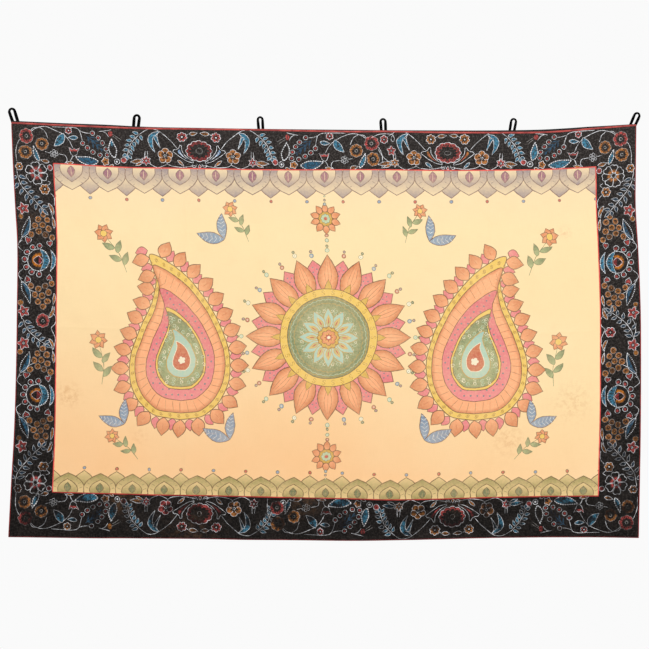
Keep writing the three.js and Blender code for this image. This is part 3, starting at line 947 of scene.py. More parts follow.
def medallion(b):
    """The great round flower in the middle of the panel, in rings of petals and curls."""
    for ray in b.rays(16, 0.5):
        ray.at(196).fill(blade(150, 92, fullness=0.9, count=16), BROWN)
        dotted(ray.at(198), blade(145, 86, fullness=0.9, count=16), 19)
    for ray in b.rays(16):
        lotus(ray.at(176), 186, 88)
    for i, ray in enumerate(b.rays(32)):
        tip = ray.at(354 if i % 2 else 372)
        bead(tip, 0, 0, 9, (AQUA, SLATE, CREAM, GARNET)[i % 4])
        bead(tip.at(17), 0, 0, 6, (MOSS, PLUM)[i % 2])
    b.outlined(disc(208, 72), GOLD, line=2.6)
    for ray in b.rays(30):
        hooked = ray.at(192, 0, 90)
        for place in (hooked.at(8, 4), hooked.at(-6, -4, 180)):
            curl(place, 8, UMBER, 0.9, 2.0)
    b.outlined(disc(176, 72), SAGE, MOSS, line=2.4)
    for radius, height, waves, colour in [(168, 2, 48, STRAW), (161, 2, 44, AQUA), (153, 3, 40, MOSS),
                                          (145, 2, 40, STRAW)]:
        wavy(b, radius, height, waves, colour)
    for field in b.rays(20):
        for x, y, size, turn, colour in [(130, 8, 12, 20, AQUA), (128, -9, 10, 160, MOSS), (110, 7, 9, 70, MOSS),
                                         (112, -8, 9, 110, CREAM), (94, 0, 8, 200, AQUA), (80, 4, 6, 40, MOSS),
                                         (68, -3, 5, 140, AQUA)]:
            curl(field.at(x, y, turn), size, colour, 1.1, 1.9)
    for spoke in b.rays(12):
        spoke.at(30).outlined(blade(104, 44, fullness=0.95, count=14), AQUA, MINT, line=2.4, edge=STRAW)
        spoke.at(46).outlined(blade(58, 20, count=10), SAGE, GOLD, line=1.6, edge=CLAY)
        spoke.at(56).fill(blade(34, 6, count=7), GARNET)
    b.outlined(petals_ring(48, 12, 0.16), GOLD, STRAW, line=2.2)
    b.outlined(petals_ring(34, 8, 0.2), TERRA, CLAY, line=1.8)
    b.outlined(points_ring(22, 8, 0.4), GARNET, line=1.6, edge=GOLD)
    b.dot(0, 0, 7, CREAM, 12)


def cone(b, size):
    """A tall leaf-shaped cone that leans at its tip, in bands, as on many printed shawls: y runs up from its foot."""
    side = [0, 0.17 + 0.03j, 0.29 + 0.16j, 0.32 + 0.34j, 0.26 + 0.54j, 0.19 + 0.70j, 0.16 + 0.85j, 0.2 + 1.0j,
            0.05 + 0.93j, -0.09 + 0.80j, -0.21 + 0.62j, -0.29 + 0.40j, -0.27 + 0.18j, -0.15 + 0.03j, 0]
    shape = curve([size * spot for spot in side], 6)[:-1]
    heart = 0.36j * size

    def band(share):
        return heart + (shape - heart) * share

    def around(share, pitch):
        """Brushes at an even pitch along a band, their x axis pointing outwards."""
        ring = np.append(band(share), band(share)[0])
        whole = ways(ring)[-1]
        for way in np.linspace(0, whole, int(whole / pitch), endpoint=False):
            spot, ahead = on(ring, way), on(ring, way + 3)
            yield b.at(spot, 0, heading(-1j * (ahead - spot)))
    for flame in around(1.0, size * 0.098):
        flame.at(0, size * 0.049).outlined(blade(size * 0.085, size * 0.056, fullness=0.86, count=8), PINK, ROSE,
                                           line=2.4)
    for flame in around(1.0, size * 0.098):
        flame.outlined(blade(size * 0.126, size * 0.082, fullness=0.86, count=9), TERRA, CLAY, line=2.6)
        flame.at(size * 0.03).fill(blade(size * 0.06, 2.0, count=4), CLAY)
    b.outlined(band(1.0), GOLD, line=2.8)
    for i, place in enumerate(around(0.945, 15)):
        curl(place.at(0, 0, 90 if i % 2 else 270), 7, UMBER, 0.9, 1.9)
    b.fill(band(0.9), BROWN)
    b.shade(grow(band(0.9), -2.4), CLAY, TERRA, size * 0.02)
    for place in around(0.80, 25):
        place.line([size * 0.028, 3j, -size * 0.034 + 6j], 2.0, RUST, steps=4)
    dotted(b, band(0.68), 22)
    b.outlined(band(0.5), GOLD, line=2.4)
    b.outlined(band(0.455), SAGE, MOSS, middle=heart)
    for share, pitch in [(0.41, 18), (0.34, 17)]:
        for i, place in enumerate(around(share, pitch)):
            curl(place.at(0, 0, 47 * i), 8, (CREAM, MOSS, AQUA)[i % 3], 1.1, 1.9)
    b.outlined(band(0.29), AQUA, MINT, line=2.4, edge=STRAW, middle=heart)
    b.outlined(band(0.18), GARNET, CLAY, line=2.0, edge=CREAM, middle=heart)
    b.fill(petals_ring(size * 0.024, 5, 0.3) + heart, CREAM)


def pendant(b):
    """A small flower that hangs on the medallion's edge: y runs away from it."""
    for y, colour in [(0.0, AQUA), (17.0, GARNET)]:
        bead(b, 0, y, 6, colour)
    head = b.at(0, 74)
    for ray in head.rays(10, 0.5):
        ray.at(20).outlined(blade(36, 22, fullness=0.9, count=12), TERRA, CLAY)
    head.outlined(petals_ring(26, 10, 0.14), GOLD, STRAW)
    head.outlined(petals_ring(17, 8, 0.2), SAGE, AQUA, line=1.6, edge=MOSS)
    head.dot(0, 0, 6, GARNET, 10)
    for i in range(3):
        bead(b, 0, 124 + 13 * i, 5 - i, (SLATE, PLUM, AQUA)[i])


def striped_leaf(b, length, width):
    """A slate leaf with pale stripes across it."""
    b.outlined(blade(length, width, 0.5, fullness=0.9, count=16), SLATE, rgb(108, 136, 164))
    for i in range(1, 7):
        x = length * i / 7.4
        rib = width * 0.36 * math.sin(math.pi * (i / 7.4) ** 0.9)
        lift = 0.25 * x * (x / length - 1) * 1j
        for side in (-1, 1):
            b.line([x + lift, x + lift + rib * 0.5 + side * rib * 0.55j, x + lift + rib * 0.7 + side * rib * 1j], 1.6,
                   CHALK, steps=3)


def spray(b, size):
    """A small flowering stem."""
    b.line([0, size * 0.4 + size * 0.06j, size * 0.86], 2.4, MOSS)
    for share, side in [(0.16, 1), (0.28, -1), (0.44, 1), (0.56, -1)]:
        branch = b.at(size * share, size * 0.04, side * 42)
        branch.outlined(blade(size * 0.3, size * 0.12, 0.4), SAGE, MOSS, line=1.8, edge=MOSS)
    head = b.at(size * 0.92)
    for ray in head.rays(7):
        ray.outlined(blade(size * 0.22, size * 0.14, count=10), TERRA, CLAY, line=1.8)
    head.outlined(disc(size * 0.07, 12), GOLD, line=1.6)


def arch(wide, high):
    """A pointed arch that stands on the x axis."""
    half = curve([0.5 * wide, 0.535 * wide + 0.26j * high, 0.475 * wide + 0.52j * high, 0.3 * wide + 0.76j * high,
                  0.09 * wide + 0.93j * high, 1j * high], 3)
    return np.concatenate([half, -np.conj(half[-2::-1])])


def lappet(b, wide, high, foot, tip, edge, core, rib):
    """A broad pointed petal with a petal inside it and a few ribs: y runs up to its tip."""
    b.faded(arch(wide, high), foot, tip, 0, 1j * high, edge)
    for side in (1, -1):
        for share in (0.24, 0.46, 0.66):
            x = side * wide * (0.5 - 0.34 * share ** 2)
            b.line([x * 0.76 + 1j * high * share, x * 0.97 + 1j * high * (share + 0.07)], 1.9, rib, steps=2)
    b.fill(grow(arch(wide * 0.62, high * 0.68), 1.2), edge)
    b.fade(grow(arch(wide * 0.62, high * 0.68), -1.3), tip, foot, 0, 0.68j * high)
    b.at(0, high * 0.05, 90).outlined(blade(high * 0.5, wide * 0.23, fullness=0.9, count=12), core, edge=edge)
    b.line([0.12j * high, 0.42j * high], 1.8, tip[:3], steps=2)


def frieze(b, width, count, high, turn, foot, tip, edge, core, rib):
    """An even row of lappets along a seam, with plainer ones behind their gaps and beads over them."""
    step = width / count
    for i in range(count + 1):
        behind = b.at(i * step, 0, turn)
        behind.faded(arch(step * 0.8, high * 1.12), tip, foot, 0.35j * high, 1.12j * high, edge)
        behind.ring(0, high * 1.26, 5.4, (GARNET, SLATE)[i % 2], 1.8, edge, 9)
    for i in range(count):
        lappet(b.at((i + 0.5) * step, 0, turn), step * 0.96, high, foot, tip, edge, core, rib)


def paint_panel(painting):
    """The whole panel's design."""
    for seam, *look in [
        (top_seam, 15, 86, 180, (*rgb(148, 136, 144), 0.9), (*rgb(246, 222, 178), 0.9), rgb(112, 88, 90), (*PLUM, 0.9),
         rgb(128, 110, 116)),
        (bottom_seam, 17, 68, 0, (*rgb(238, 208, 146), 0.9), (*rgb(142, 138, 80), 0.92), rgb(88, 74, 44), (*MOSS, 0.9),
         REED),
    ]:
        frieze(Brush(painting, FRIEZE_START, follow=seam), FRIEZE_WIDTH, *look)
    medallion(Brush(painting, PANEL_MIDDLE, 0.8))
    for up in (1, -1):
        pendant(Brush(painting, PANEL_MIDDLE + 330j * up, up))
    centre = Brush(painting, PANEL_MIDDLE)
    for side in (centre, centre.mirror()):
        cone(side.at(500, -285), 560)
        for x, y, turn, size in [(330, -350, 20, 110), (350, 330, 10, 105), (690, -300, 15, 100)]:
            striped_leaf(side.at(x, y, turn), size, size * 0.36)
            striped_leaf(side.at(x, y, turn + 75), size * 0.9, size * 0.32)
        for x, y, turn, size in [(268, 322, 62, 135), (690, 210, 60, 165), (770, -170, 84, 165), (640, -420, 40, 130)]:
            spray(side.at(x, y, turn), size)


# ---- Materials ----
class Graph:
    """The nodes of a material or the world, added one by one and linked by their sockets."""

    def __init__(self, owner):
        self.owner = owner
        owner.use_nodes = True
        self.tree = owner.node_tree
        self.tree.nodes.clear()

    def add(self, kind, inputs=(), out=0, **settings):
        node = self.tree.nodes.new("ShaderNode" + kind)
        for key, value in settings.items():
            setattr(node, key, value)
        for key, value in dict(inputs).items():
            socket = node.inputs[key]
            if isinstance(value, bpy.types.NodeSocket):
                self.tree.links.new(value, socket)
            else:
                socket.default_value = value
        return node.outputs[out] if len(node.outputs) else node

    def math(self, operation, a, b=0.0, c=0.0):
        return self.add("Math", {0: a, 1: b, 2: c}, operation=operation)

    def times(self, a, b):
        return self.math("MULTIPLY", a, b)

    def plus(self, a, b):
        return self.math("ADD", a, b)

    def mix(self, share, a, b):
        a, b = [(*v, 1) if isinstance(v, tuple) and len(v) == 3 else v for v in (a, b)]
        return self.add("Mix", {0: share, 6: a, 7: b}, 2, data_type="RGBA")

    def cover(self, under, colour, height, low, high, most):
        """A colour laid over another where a height runs from low to high, at most so strongly."""
        return self.mix(self.range(height, low, high, 0, most), under, colour)

    def range(self, value, low, high, start=0.0, end=1.0, smooth=True):
        kind = "SMOOTHSTEP" if smooth else "LINEAR"
        return self.add("MapRange", {0: value, 1: low, 2: high, 3: start, 4: end}, interpolation_type=kind)

    def ramp(self, value, stops):
        socket = self.add("ValToRGB", {0: value})
        band = socket.node.color_ramp
        for i, (place, colour) in enumerate(stops):
            element = band.elements[i] if i < 2 else band.elements.new(place)
            element.position = place
            element.color = (*colour, 1)
        return socket

    def noise(self, place, scale, detail=3.0, rough=0.5, stretch=(1, 1, 1)):
        place = self.add("Mapping", {"Vector": place, "Scale": stretch})
        return self.add("TexNoise", {"Vector": place, "Scale": scale, "Detail": detail, "Roughness": rough})

    def folded(self, place, turn, along, across):
        """Long soft ripples that run at an angle over the cloth."""
        turned = self.add("Mapping", {"Vector": place, "Rotation": (0, 0, math.radians(turn)),
                                      "Scale": (1 / along, 1 / across, 1)}, vector_type="TEXTURE")
        return self.add("TexNoise", {"Vector": turned, "Scale": 1.0, "Detail": 2.0, "Roughness": 0.4})

    def flat(self):
        """The place on the flat cloth, in metres: s to the right and t down."""
        place = self.add("UVMap", uv_map="flat")
        parts = self.add("SeparateXYZ", {0: place}).node
        return place, parts.outputs[0], parts.outputs[1]

    def painted(self):
        """The colour and the strength of what is painted."""
        paint = self.add("Attribute", attribute_name="paint", attribute_type="GEOMETRY").node.outputs
        return paint["Color"], paint["Alpha"]

    def wave(self, way, pitch):
        """A height between -1 and 1 that comes back at every pitch."""
        return self.math("SINE", self.times(way, 2 * math.pi / pitch))

    def weave(self, s, t, pitch):
        """A plain weave's height, from 0 to 1."""
        across, down = self.wave(s, pitch), self.wave(t, pitch)
        return self.math("MULTIPLY_ADD", self.times(across, down), 0.5, 0.5)

    def bump(self, height, distance, strength, under=None):
        inputs = {"Height": height, "Distance": distance, "Strength": strength}
        if under is not None:
            inputs["Normal"] = under
        return self.add("Bump", inputs)

    def finish(self, colour, normal, roughness, sheen, level):
        inputs = {"Base Color": colour, "Roughness": roughness, "Normal": normal, "Sheen Weight": sheen,
                  "Specular IOR Level": level}
        shader = self.add("BsdfPrincipled", inputs)
        self.add("OutputMaterial", {"Surface": shader})
        return self.owner


def spots(g, s, t, marks):
    """How strongly a few soft round marks colour a place: s, t, radius and strength of each, in metres."""
    total = None
    for mark_s, mark_t, radius, strength in marks:
        across, down = g.math("SUBTRACT", s, mark_s), g.math("SUBTRACT", t, mark_t)
        square = g.plus(g.times(across, across), g.times(down, down))
        one = g.times(g.math("EXPONENT", g.times(square, -1 / radius ** 2)), strength)
        total = one if total is None else g.plus(total, one)
    return total


def slubs(g, place, across, down):
    """Uneven threads both ways."""
    weft = g.noise(place, 1.0, 2.0, 0.6, (across, down, 1))
    warp = g.noise(place, 1.0, 2.0, 0.6, (down, across, 1))
    return g.times(g.plus(weft, warp), 0.5)


def panel_material(name, cover, pale):
    """Cream cotton, peach lower down, with a few stains: cover is the paint's strength, pale how far it is paled."""
    g = Graph(bpy.data.materials.new(name))
    place, s, t = g.flat()
    stops = [(0.10, rgb(246, 218, 175)), (0.24, rgb(252, 224, 173)), (0.45, rgb(252, 222, 170)),
             (0.62, rgb(252, 213, 161)), (0.80, rgb(252, 202, 148)), (0.90, rgb(251, 199, 144))]
    paler = g.times(g.range(s, 0.9, 2.0, 0.0, 0.2), g.range(t, 0.4, 0.9))
    ground = g.ramp(g.math("SUBTRACT", g.math("DIVIDE", t, HEIGHT * MM), paler), stops)
    ground = g.mix(pale, ground, rgb(244, 226, 192))
    ground = g.cover(ground, rgb(250, 232, 190), g.noise(place, 2.3, 3.0, 0.55), 0.35, 0.7, 0.16)
    ground = g.cover(ground, rgb(226, 178, 122), g.noise(place, 14, 4.0, 0.6), 0.45, 0.8, 0.07)
    threads = slubs(g, place, 26, 900)
    ground = g.cover(ground, rgb(214, 172, 118), threads, 0.35, 0.65, 0.09)
    paint, strong = g.painted()
    brushed = g.range(g.noise(place, 120, 3.0, 0.65), 0.3, 0.6, 0.78, 1.0)
    brushed = g.times(brushed, g.range(threads, 0.3, 0.55, 0.86, 1.0))
    strength = g.times(strong, g.times(brushed, cover))
    shades = g.cover(paint, rgb(252, 214, 166), g.noise(place, 9, 3.0, 0.6), 0.3, 0.7, 0.14)
    colour = g.mix(strength, ground, shades)
    marks = [(0.182, 0.915, 0.035, 0.5), (1.683, 1.058, 0.05, 0.32), (1.885, 0.352, 0.02, 0.3),
             (1.90, 0.93, 0.06, 0.28), (0.43, 1.05, 0.03, 0.2)]
    stained = g.times(spots(g, s, t, marks), g.range(g.noise(place, 60, 4.0, 0.7), 0.4, 0.65))
    colour = g.mix(stained, colour, rgb(206, 140, 84))
    normal = g.bump(g.weave(s, t, 0.0006), 0.0001, 0.35)
    normal = g.bump(threads, 0.0004, 0.3, normal)
    normal = g.bump(g.noise(place, 5.5, 4.0, 0.5), 0.012, 0.16, normal)
    normal = g.bump(g.folded(place, 56, 1.0, 6.5), 0.03, g.range(s, 0.5, 1.1, 0.3, 0.1), normal)
    return g.finish(colour, normal, 0.88, 0.05, 0.15)


def border_material(name, cover):
    """Black cotton, dusty and rubbed, with brittle paint, and a painted sheen at the top that fades to painted shade
    lower down: cover is the paint's strength.
    """
    g = Graph(bpy.data.materials.new(name))
    place, s, t = g.flat()
    down = g.math("DIVIDE", t, HEIGHT * MM)
    # The ground runs from grey-black at the top to near black at the bottom: painted sheen from a light above, fading
    # into painted shade
    stops = [(0.0, rgb(36, 33, 32)), (0.10, rgb(29, 26, 25)), (0.62, rgb(18, 16, 15)), (0.95, rgb(4, 4, 4))]
    ground = g.ramp(down, stops)
    ground = g.cover(ground, rgb(74, 64, 60), g.noise(place, 11, 5.0, 0.65), 0.42, 0.75, 0.16)
    threads = slubs(g, place, 40, 1100)
    ground = g.cover(ground, rgb(96, 88, 84), threads, 0.4, 0.7, 0.2)
    # Pale fibre grain, strongest at the top and fading lower down with the painted sheen
    grain_with_sheen = g.noise(place, 150, 3.0, 0.8)
    grain_with_sheen = g.times(g.range(grain_with_sheen, 0.46, 0.66, 0, 0.5), g.range(down, 0.15, 1.0, 1.0, 0.32))
    ground = g.mix(grain_with_sheen, ground, rgb(100, 94, 90))
    rubbed = spots(g, s, t, [(0.37, 1.262, 0.045, 0.55), (1.0, 1.255, 0.05, 0.5), (1.52, 1.262, 0.04, 0.4),
                             (0.62, 1.39, 0.08, 0.3), (0.07, 0.33, 0.04, 0.25)])
    rubbed = g.times(rubbed, g.range(g.noise(place, 45, 4.0, 0.7), 0.4, 0.7))
    ground = g.mix(rubbed, ground, rgb(112, 82, 58))
    paint, strong = g.painted()
    line = g.range(strong, 0.92, 0.99)
    patchy = g.range(g.noise(place, 135, 4.0, 0.7), 0.38, 0.62, 0.15, 1.0)
    broken = g.range(g.noise(place, 100, 4.0, 0.75), 0.37, 0.57, 0.25, 1.0)
    dry = g.plus(g.times(broken, line), g.times(patchy, g.math("SUBTRACT", 1.0, line)))
    dry = g.times(dry, g.range(threads, 0.32, 0.52, 0.75, 1.0))
    strength = g.times(strong, g.times(dry, cover))
    # The paint darkens towards the bottom, its outlines less than its colours: painted shade, as less light falls
    # there
    painted_shade_low = g.times(g.range(t, 0.7, 1.28), g.range(line, 0, 1, 0.6, 0.45, False))
    painted_shade_low = g.times(painted_shade_low, g.range(g.noise(place, 22, 3.0, 0.6), 0.42, 0.62, 1.6, 0.35))
    colour = g.mix(strength, ground, g.mix(painted_shade_low, paint, rgb(20, 16, 18)))
    normal = g.bump(g.weave(s, t, 0.0006), 0.0001, 0.4)
    normal = g.bump(g.plus(threads, g.times(strength, 0.6)), 0.0003, 0.4, normal)
    normal = g.bump(g.noise(place, 7, 4.0, 0.5), 0.01, 0.12, normal)
    return g.finish(colour, normal, 0.9, 0.0, 0.05)


def trim_material(name, base, dark, pale, pitch=0.0009, roughness=0.75, level=0.25):
    """A narrow woven strip, its threads slanting, rubbed pale in places."""
    g = Graph(bpy.data.materials.new(name))
    place, s, t = g.flat()
    mottled = g.noise(place, 70, 4.0, 0.6, (0.35, 1, 1))
    colour = g.mix(g.range(mottled, 0.35, 0.65), dark, base)
    colour = g.cover(colour, pale, g.noise(place, 24, 4.0, 0.6), 0.55, 0.75, 0.5)
    slant = g.wave(g.plus(s, t), pitch)
    # Darker in the troughs of the slanting threads, where the bump is low: painted shade in the weave's grooves
    colour = g.mix(g.range(slant, -1, 1, 0.16, 0), colour, dark)
    normal = g.bump(slant, 0.0001, 0.5)
    normal = g.bump(g.noise(place, 180, 3.0, 0.6, (0.3, 1, 1)), 0.0004, 0.5, normal)
    return g.finish(colour, normal, roughness, 0.4 * level, level)


def thread_material(name, base, dark):
    """Twisted sewing thread."""
    g = Graph(bpy.data.materials.new(name))
    place, s, t = g.flat()
    twist = g.wave(g.plus(s, g.times(t, 2.0)), 0.0007)
    # Darker in the grooves of the twist, where the bump is low: painted shade
    colour = g.mix(g.range(twist, -1, 1), dark, base)
    return g.finish(colour, g.bump(twist, 0.0001, 0.6), 0.55, 0.1, 0.4)


panel_front = panel_material("panel_front", 0.97, 0.0)
panel_back = panel_material("panel_back", 0.30, 0.45)
border_front = border_material("border_front", 1.0)
border_back = border_material("border_back", 0.10)
# The bottom piping and the bottom binding take darker copies of their reds: painted shade, as the light falls from
# above and the bottom edge faces down
piping_red = trim_material("piping_red", rgb(250, 104, 92), rgb(204, 72, 66), rgb(250, 150, 136))
piping_red_shaded = trim_material("piping_red_shaded", rgb(200, 66, 56), rgb(140, 40, 36), rgb(212, 96, 82))
binding_red = trim_material("binding_red", rgb(198, 88, 80), rgb(142, 56, 54), rgb(214, 122, 110))
binding_side = trim_material("binding_side", rgb(172, 46, 44), rgb(110, 26, 26), rgb(190, 80, 72))
binding_red_shaded = trim_material("binding_red_shaded", rgb(128, 44, 42), rgb(78, 26, 28), rgb(168, 70, 62))
tape_black = trim_material("tape_black", rgb(34, 32, 33), rgb(18, 17, 18), rgb(64, 60, 60), 0.0012)
loop_black = trim_material("loop_black", rgb(19, 19, 20), rgb(7, 7, 8), rgb(40, 39, 40), 0.0010, 0.95, 0.0)
thread_red = thread_material("thread_red", rgb(170, 56, 52), rgb(104, 30, 32))
thread_black = thread_material("thread_black", rgb(48, 46, 48), rgb(16, 15, 16))


# ---- Making pieces ----
CORD_SIDES, STRAND_SIDES = 10, 14
PUCKER, SWELL = 0.09, 0.05
STITCH_LENGTH, STITCH_WIDTH, BINDING_PITCH, TAPE_PITCH = 2.6, 0.62, 5.4, 4.6
TOP_INSET, SIDE_INSET, TAPE_ROW = 1.3, 0.9, 21


def make_object(name, verts, faces, flat_places, materials, which=None, paint=None, normals=None):
    """A mesh whose corners, in the order of its faces, hold their place on the flat cloth."""
    mesh = bpy.data.meshes.new(name)
    mesh.from_pydata(np.asarray(verts).tolist(), [], [list(map(int, face)) for face in faces])
    uv = mesh.uv_layers.new(name="flat")
    uv.data.foreach_set("uv", np.asarray(flat_places, np.float32).ravel())
    if paint is not None:
        layer = mesh.color_attributes.new("paint", "FLOAT_COLOR", "CORNER")
        layer.data.foreach_set("color", np.asarray(paint, np.float32).ravel())
    for material in materials:
        mesh.materials.append(material)
    if which is not None:
        mesh.polygons.foreach_set("material_index", np.asarray(which, np.int32))
    mesh.polygons.foreach_set("use_smooth", np.ones(len(mesh.polygons), bool))
    if normals is not None:
        mesh.normals_split_custom_set(np.asarray(normals).reshape(-1, 3).tolist())
    mesh.update()
    piece = bpy.data.objects.new(name, mesh)
    scene.collection.objects.link(piece)
    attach(piece, "root")
    return piece


def edge_ring(left, right, top, bottom, step=11):
    """The outline of a sheet between left(t) and right(t) and between top(s) and bottom(s)."""
    def corner(side, end):
        t = end(side(HEIGHT / 2))
        return float(side(t)), float(end(side(t)))

    def down(side):
        low, high = corner(side, top)[1], corner(side, bottom)[1]
        t = np.linspace(low, high, int((high - low) / step) + 2)[1:-1]
        return side(t) - 1j * t

    def over(end):
        low, high = corner(left, end)[0], corner(right, end)[0]
        s = np.linspace(low, high, int((high - low) / step) + 2)
        return s - 1j * end(s)
    return np.concatenate([over(top), down(right), over(bottom)[::-1], down(left)[::-1]])


def sheet_piece(name, ring, paint, materials, front=0.0, thick=THICK, grid=17, least=0.3):
    """A sheet of cloth whose front is cut along what is painted on it, with a back and a rim."""
    painting = Painting(ring, grid, least)
    if paint:
        paint(painting)
    corners, faces, colours = painting.cut()
    a, b, c = corners[faces].T
    wrong = (np.conj(b - a) * (c - a)).imag < 0
    faces[wrong] = faces[wrong][:, ::-1]
    colours[wrong] = colours[wrong][:, ::-1]
    s, t, count = corners.real, -corners.imag, len(corners)
    verts = np.concatenate([hang(s, t, front), hang(s, t, front - thick)])
    edges = np.concatenate([faces[:, [0, 1]], faces[:, [1, 2]], faces[:, [2, 0]]])
    p, q = edges[~np.isin(edges @ (count, 1), edges @ (1, count))].T
    rim_faces = np.concatenate([np.stack([q, p, p + count], 1), np.stack([q, p + count, q + count], 1)])
    every = np.concatenate([faces, faces[:, ::-1] + count, rim_faces])
    raised = hang(s, t, 1.0) - hang(s, t, 0.0)
    up = raised / np.linalg.norm(raised, axis=-1, keepdims=True)
    outward = np.cross(verts[q] - verts[p], up[p])
    outward /= np.linalg.norm(outward, axis=1, keepdims=True)
    rim_normals = np.tile(outward, (2, 1))[:, None, :].repeat(3, axis=1)
    normals = np.concatenate([up[faces], -up[faces[:, ::-1]], rim_normals])
    paints = np.concatenate([colours, colours[:, ::-1], np.zeros((len(rim_faces), 3, 4))])
    places = (np.tile(np.stack([s, t], 1), (2, 1)) * MM)[every]
    which = np.repeat([0, 1, 0], [len(faces), len(faces), len(rim_faces)])
    piece = make_object(name + "_cloth", verts, every, places, materials, which, paints, normals)
    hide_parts(name)
    abs(area(ring)) * MM ** 2


def tube(rings):
    """Verts, faces and corner places of a closed tube through rings of the same number of points."""
    rings = np.asarray(rings)
    n, m = rings.shape[:2]
    verts = rings.reshape(-1, 3)
    along = np.concatenate([[0], np.cumsum(np.linalg.norm(np.diff(rings.mean(axis=1), axis=0), axis=1))])
    round_it = np.linalg.norm(np.diff(rings[n // 2], axis=0), axis=1).mean()
    k, j = [v.ravel() for v in np.meshgrid(np.arange(n - 1), np.arange(m), indexing="ij")]
    corners = [(0, 1), (1, 1), (1, 0), (0, 0)]
    faces = np.stack([(k + up) * m + (j + over) % m for up, over in corners], 1).tolist()
    faces += [list(range(m - 1, -1, -1)), list(range((n - 1) * m, n * m))]
    places = np.stack([np.stack([along[k + up], (j + over) * round_it], 1) for up, over in corners], 1)
    places = places.reshape(-1, 2).tolist() + [[along[0], 0.0]] * m + [[along[-1], 0.0]] * m
    return verts, faces, places


def cord_piece(name, path, width, thick, material, seed):
    """A soft cord sewn along a line on the flat cloth, with small puckers where its thread pulls."""
    step = np.gradient(path)
    side = 1j * step / np.abs(step)
    length = ways(path)
    pulled = 1 - PUCKER * np.abs(np.sin(length / 4.6 + seed)) - SWELL * np.sin(length / 17.3 + 2 * seed)
    ends = np.clip(np.minimum(length + 0.4, length[-1] - length + 0.4) / (thick * 0.5), 0, 1)
    rings = []
    for j in range(CORD_SIDES):
        out, up = math.cos(2 * math.pi * j / CORD_SIDES), math.sin(2 * math.pi * j / CORD_SIDES)
        flat_x = math.copysign(abs(out) ** 0.8, out) * width / 2
        place = path + side * flat_x * np.sqrt(ends)
        rise = -THICK / 2 + up * thick / 2 * pulled * np.sqrt(ends)
        rings.append(hang(place.real, -place.imag, rise))
    piece = make_object(name + "_roll", *tube(np.stack(rings, axis=1)), [material])
    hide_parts(name)


def stitches(name, rows, material, rise=0.42):
    """Small thread stitches, each (place, direction, height of the cloth under it) on the flat cloth."""
    verts, faces, places = [], [], []
    for place, direction, level in rows:
        first = len(verts)
        side = 1j * direction
        for share, size in [(-1, 0.35), (-0.55, 1), (0.55, 1), (1, 0.35)]:
            spot = place + direction * share * STITCH_LENGTH / 2
            for across, up in [(-1, 0.0), (-0.5, 0.9), (0.5, 0.9), (1, 0.0), (0, -0.3)]:
                where = spot + side * across * STITCH_WIDTH / 2 * size
                verts.append((where.real, -where.imag, level + rise * up * (size if up > 0 else 1) - 0.08))
        for k in range(3):
            for j in range(5):
                corners = [(0, 0), (1, 0), (1, 1), (0, 1)]
                faces.append([first + (k + up) * 5 + (j + over) % 5 for up, over in corners])
                places += [(k * 0.8 + 0.8 * up, j * 0.2 + 0.2 * over) for up, over in corners]
        faces += [[first + j for j in range(5)], [first + 15 + j for j in range(4, -1, -1)]]
        places += [(0, 0)] * 10
    flat = np.array(verts)
    hung = hang(flat[:, 0], flat[:, 1], flat[:, 2])
    make_object(name, hung, faces, np.array(places) * MM, [material])


def row_along(path, pitch, level, skip):
    """Stitches in a row along a line on the flat cloth."""
    at = np.arange(skip + pitch / 2, ways(path)[-1] - skip, pitch)
    step = on(path, at + 1) - on(path, at - 1)
    return [(place, direction, level) for place, direction in zip(on(path, at), step / np.abs(step))]


# ---- The sheets ----
UNDER = PIPING_WIDTH / 2 - 0.6
SIDE_EDGE = BINDING_SIDE - 0.6
TOP_EDGE = BINDING_TOP - 0.6


def shifted(line, by=0.0):
    """A line given by a function, or a straight one, moved by a distance."""
    return lambda x: (line(x) if callable(line) else np.asarray(x, float) * 0 + line) + by


upright_left, upright_right = shifted(SIDE_EDGE), shifted(WIDTH - SIDE_EDGE)
over_panel, under_panel = shifted(brow, UNDER), shifted(hem, -UNDER)
over_border, under_border = shifted(brow, -UNDER), shifted(hem, UNDER)
panel_ring = edge_ring(shifted(seam_left, UNDER), shifted(seam_right, -UNDER), over_panel, under_panel)
top_ring = edge_ring(upright_left, upright_right, shifted(TOP_EDGE), over_border)
bottom_ring = edge_ring(upright_left, upright_right, under_border, shifted(HEIGHT - SIDE_EDGE))
left_ring = edge_ring(upright_left, shifted(seam_left, -UNDER), over_border, under_border)
right_ring = edge_ring(shifted(seam_right, UNDER), upright_right, over_border, under_border)
sheet_piece("centre_panel", panel_ring, paint_panel, [panel_front, panel_back], grid=26, least=0.62)
for name, ring in [("border_top", top_ring), ("border_bottom", bottom_ring), ("border_left", left_ring),
                   ("border_right", right_ring)]:
    sheet_piece(name, ring, paint_border, [border_front, border_back])
tape_front = -THICK / 2 - BINDING_THICK / 2 - GAP
tape_ring = edge_ring(shifted(HEADING_INSET), shifted(WIDTH - HEADING_INSET),
                      lambda s: -between(UNEVEN, 3, np.asarray(s, float) / WIDTH), shifted(HEADING_WIDTH), 9)
sheet_piece("heading_tape", tape_ring, None, [tape_black, tape_black], tape_front, HEADING_THICK, 10)

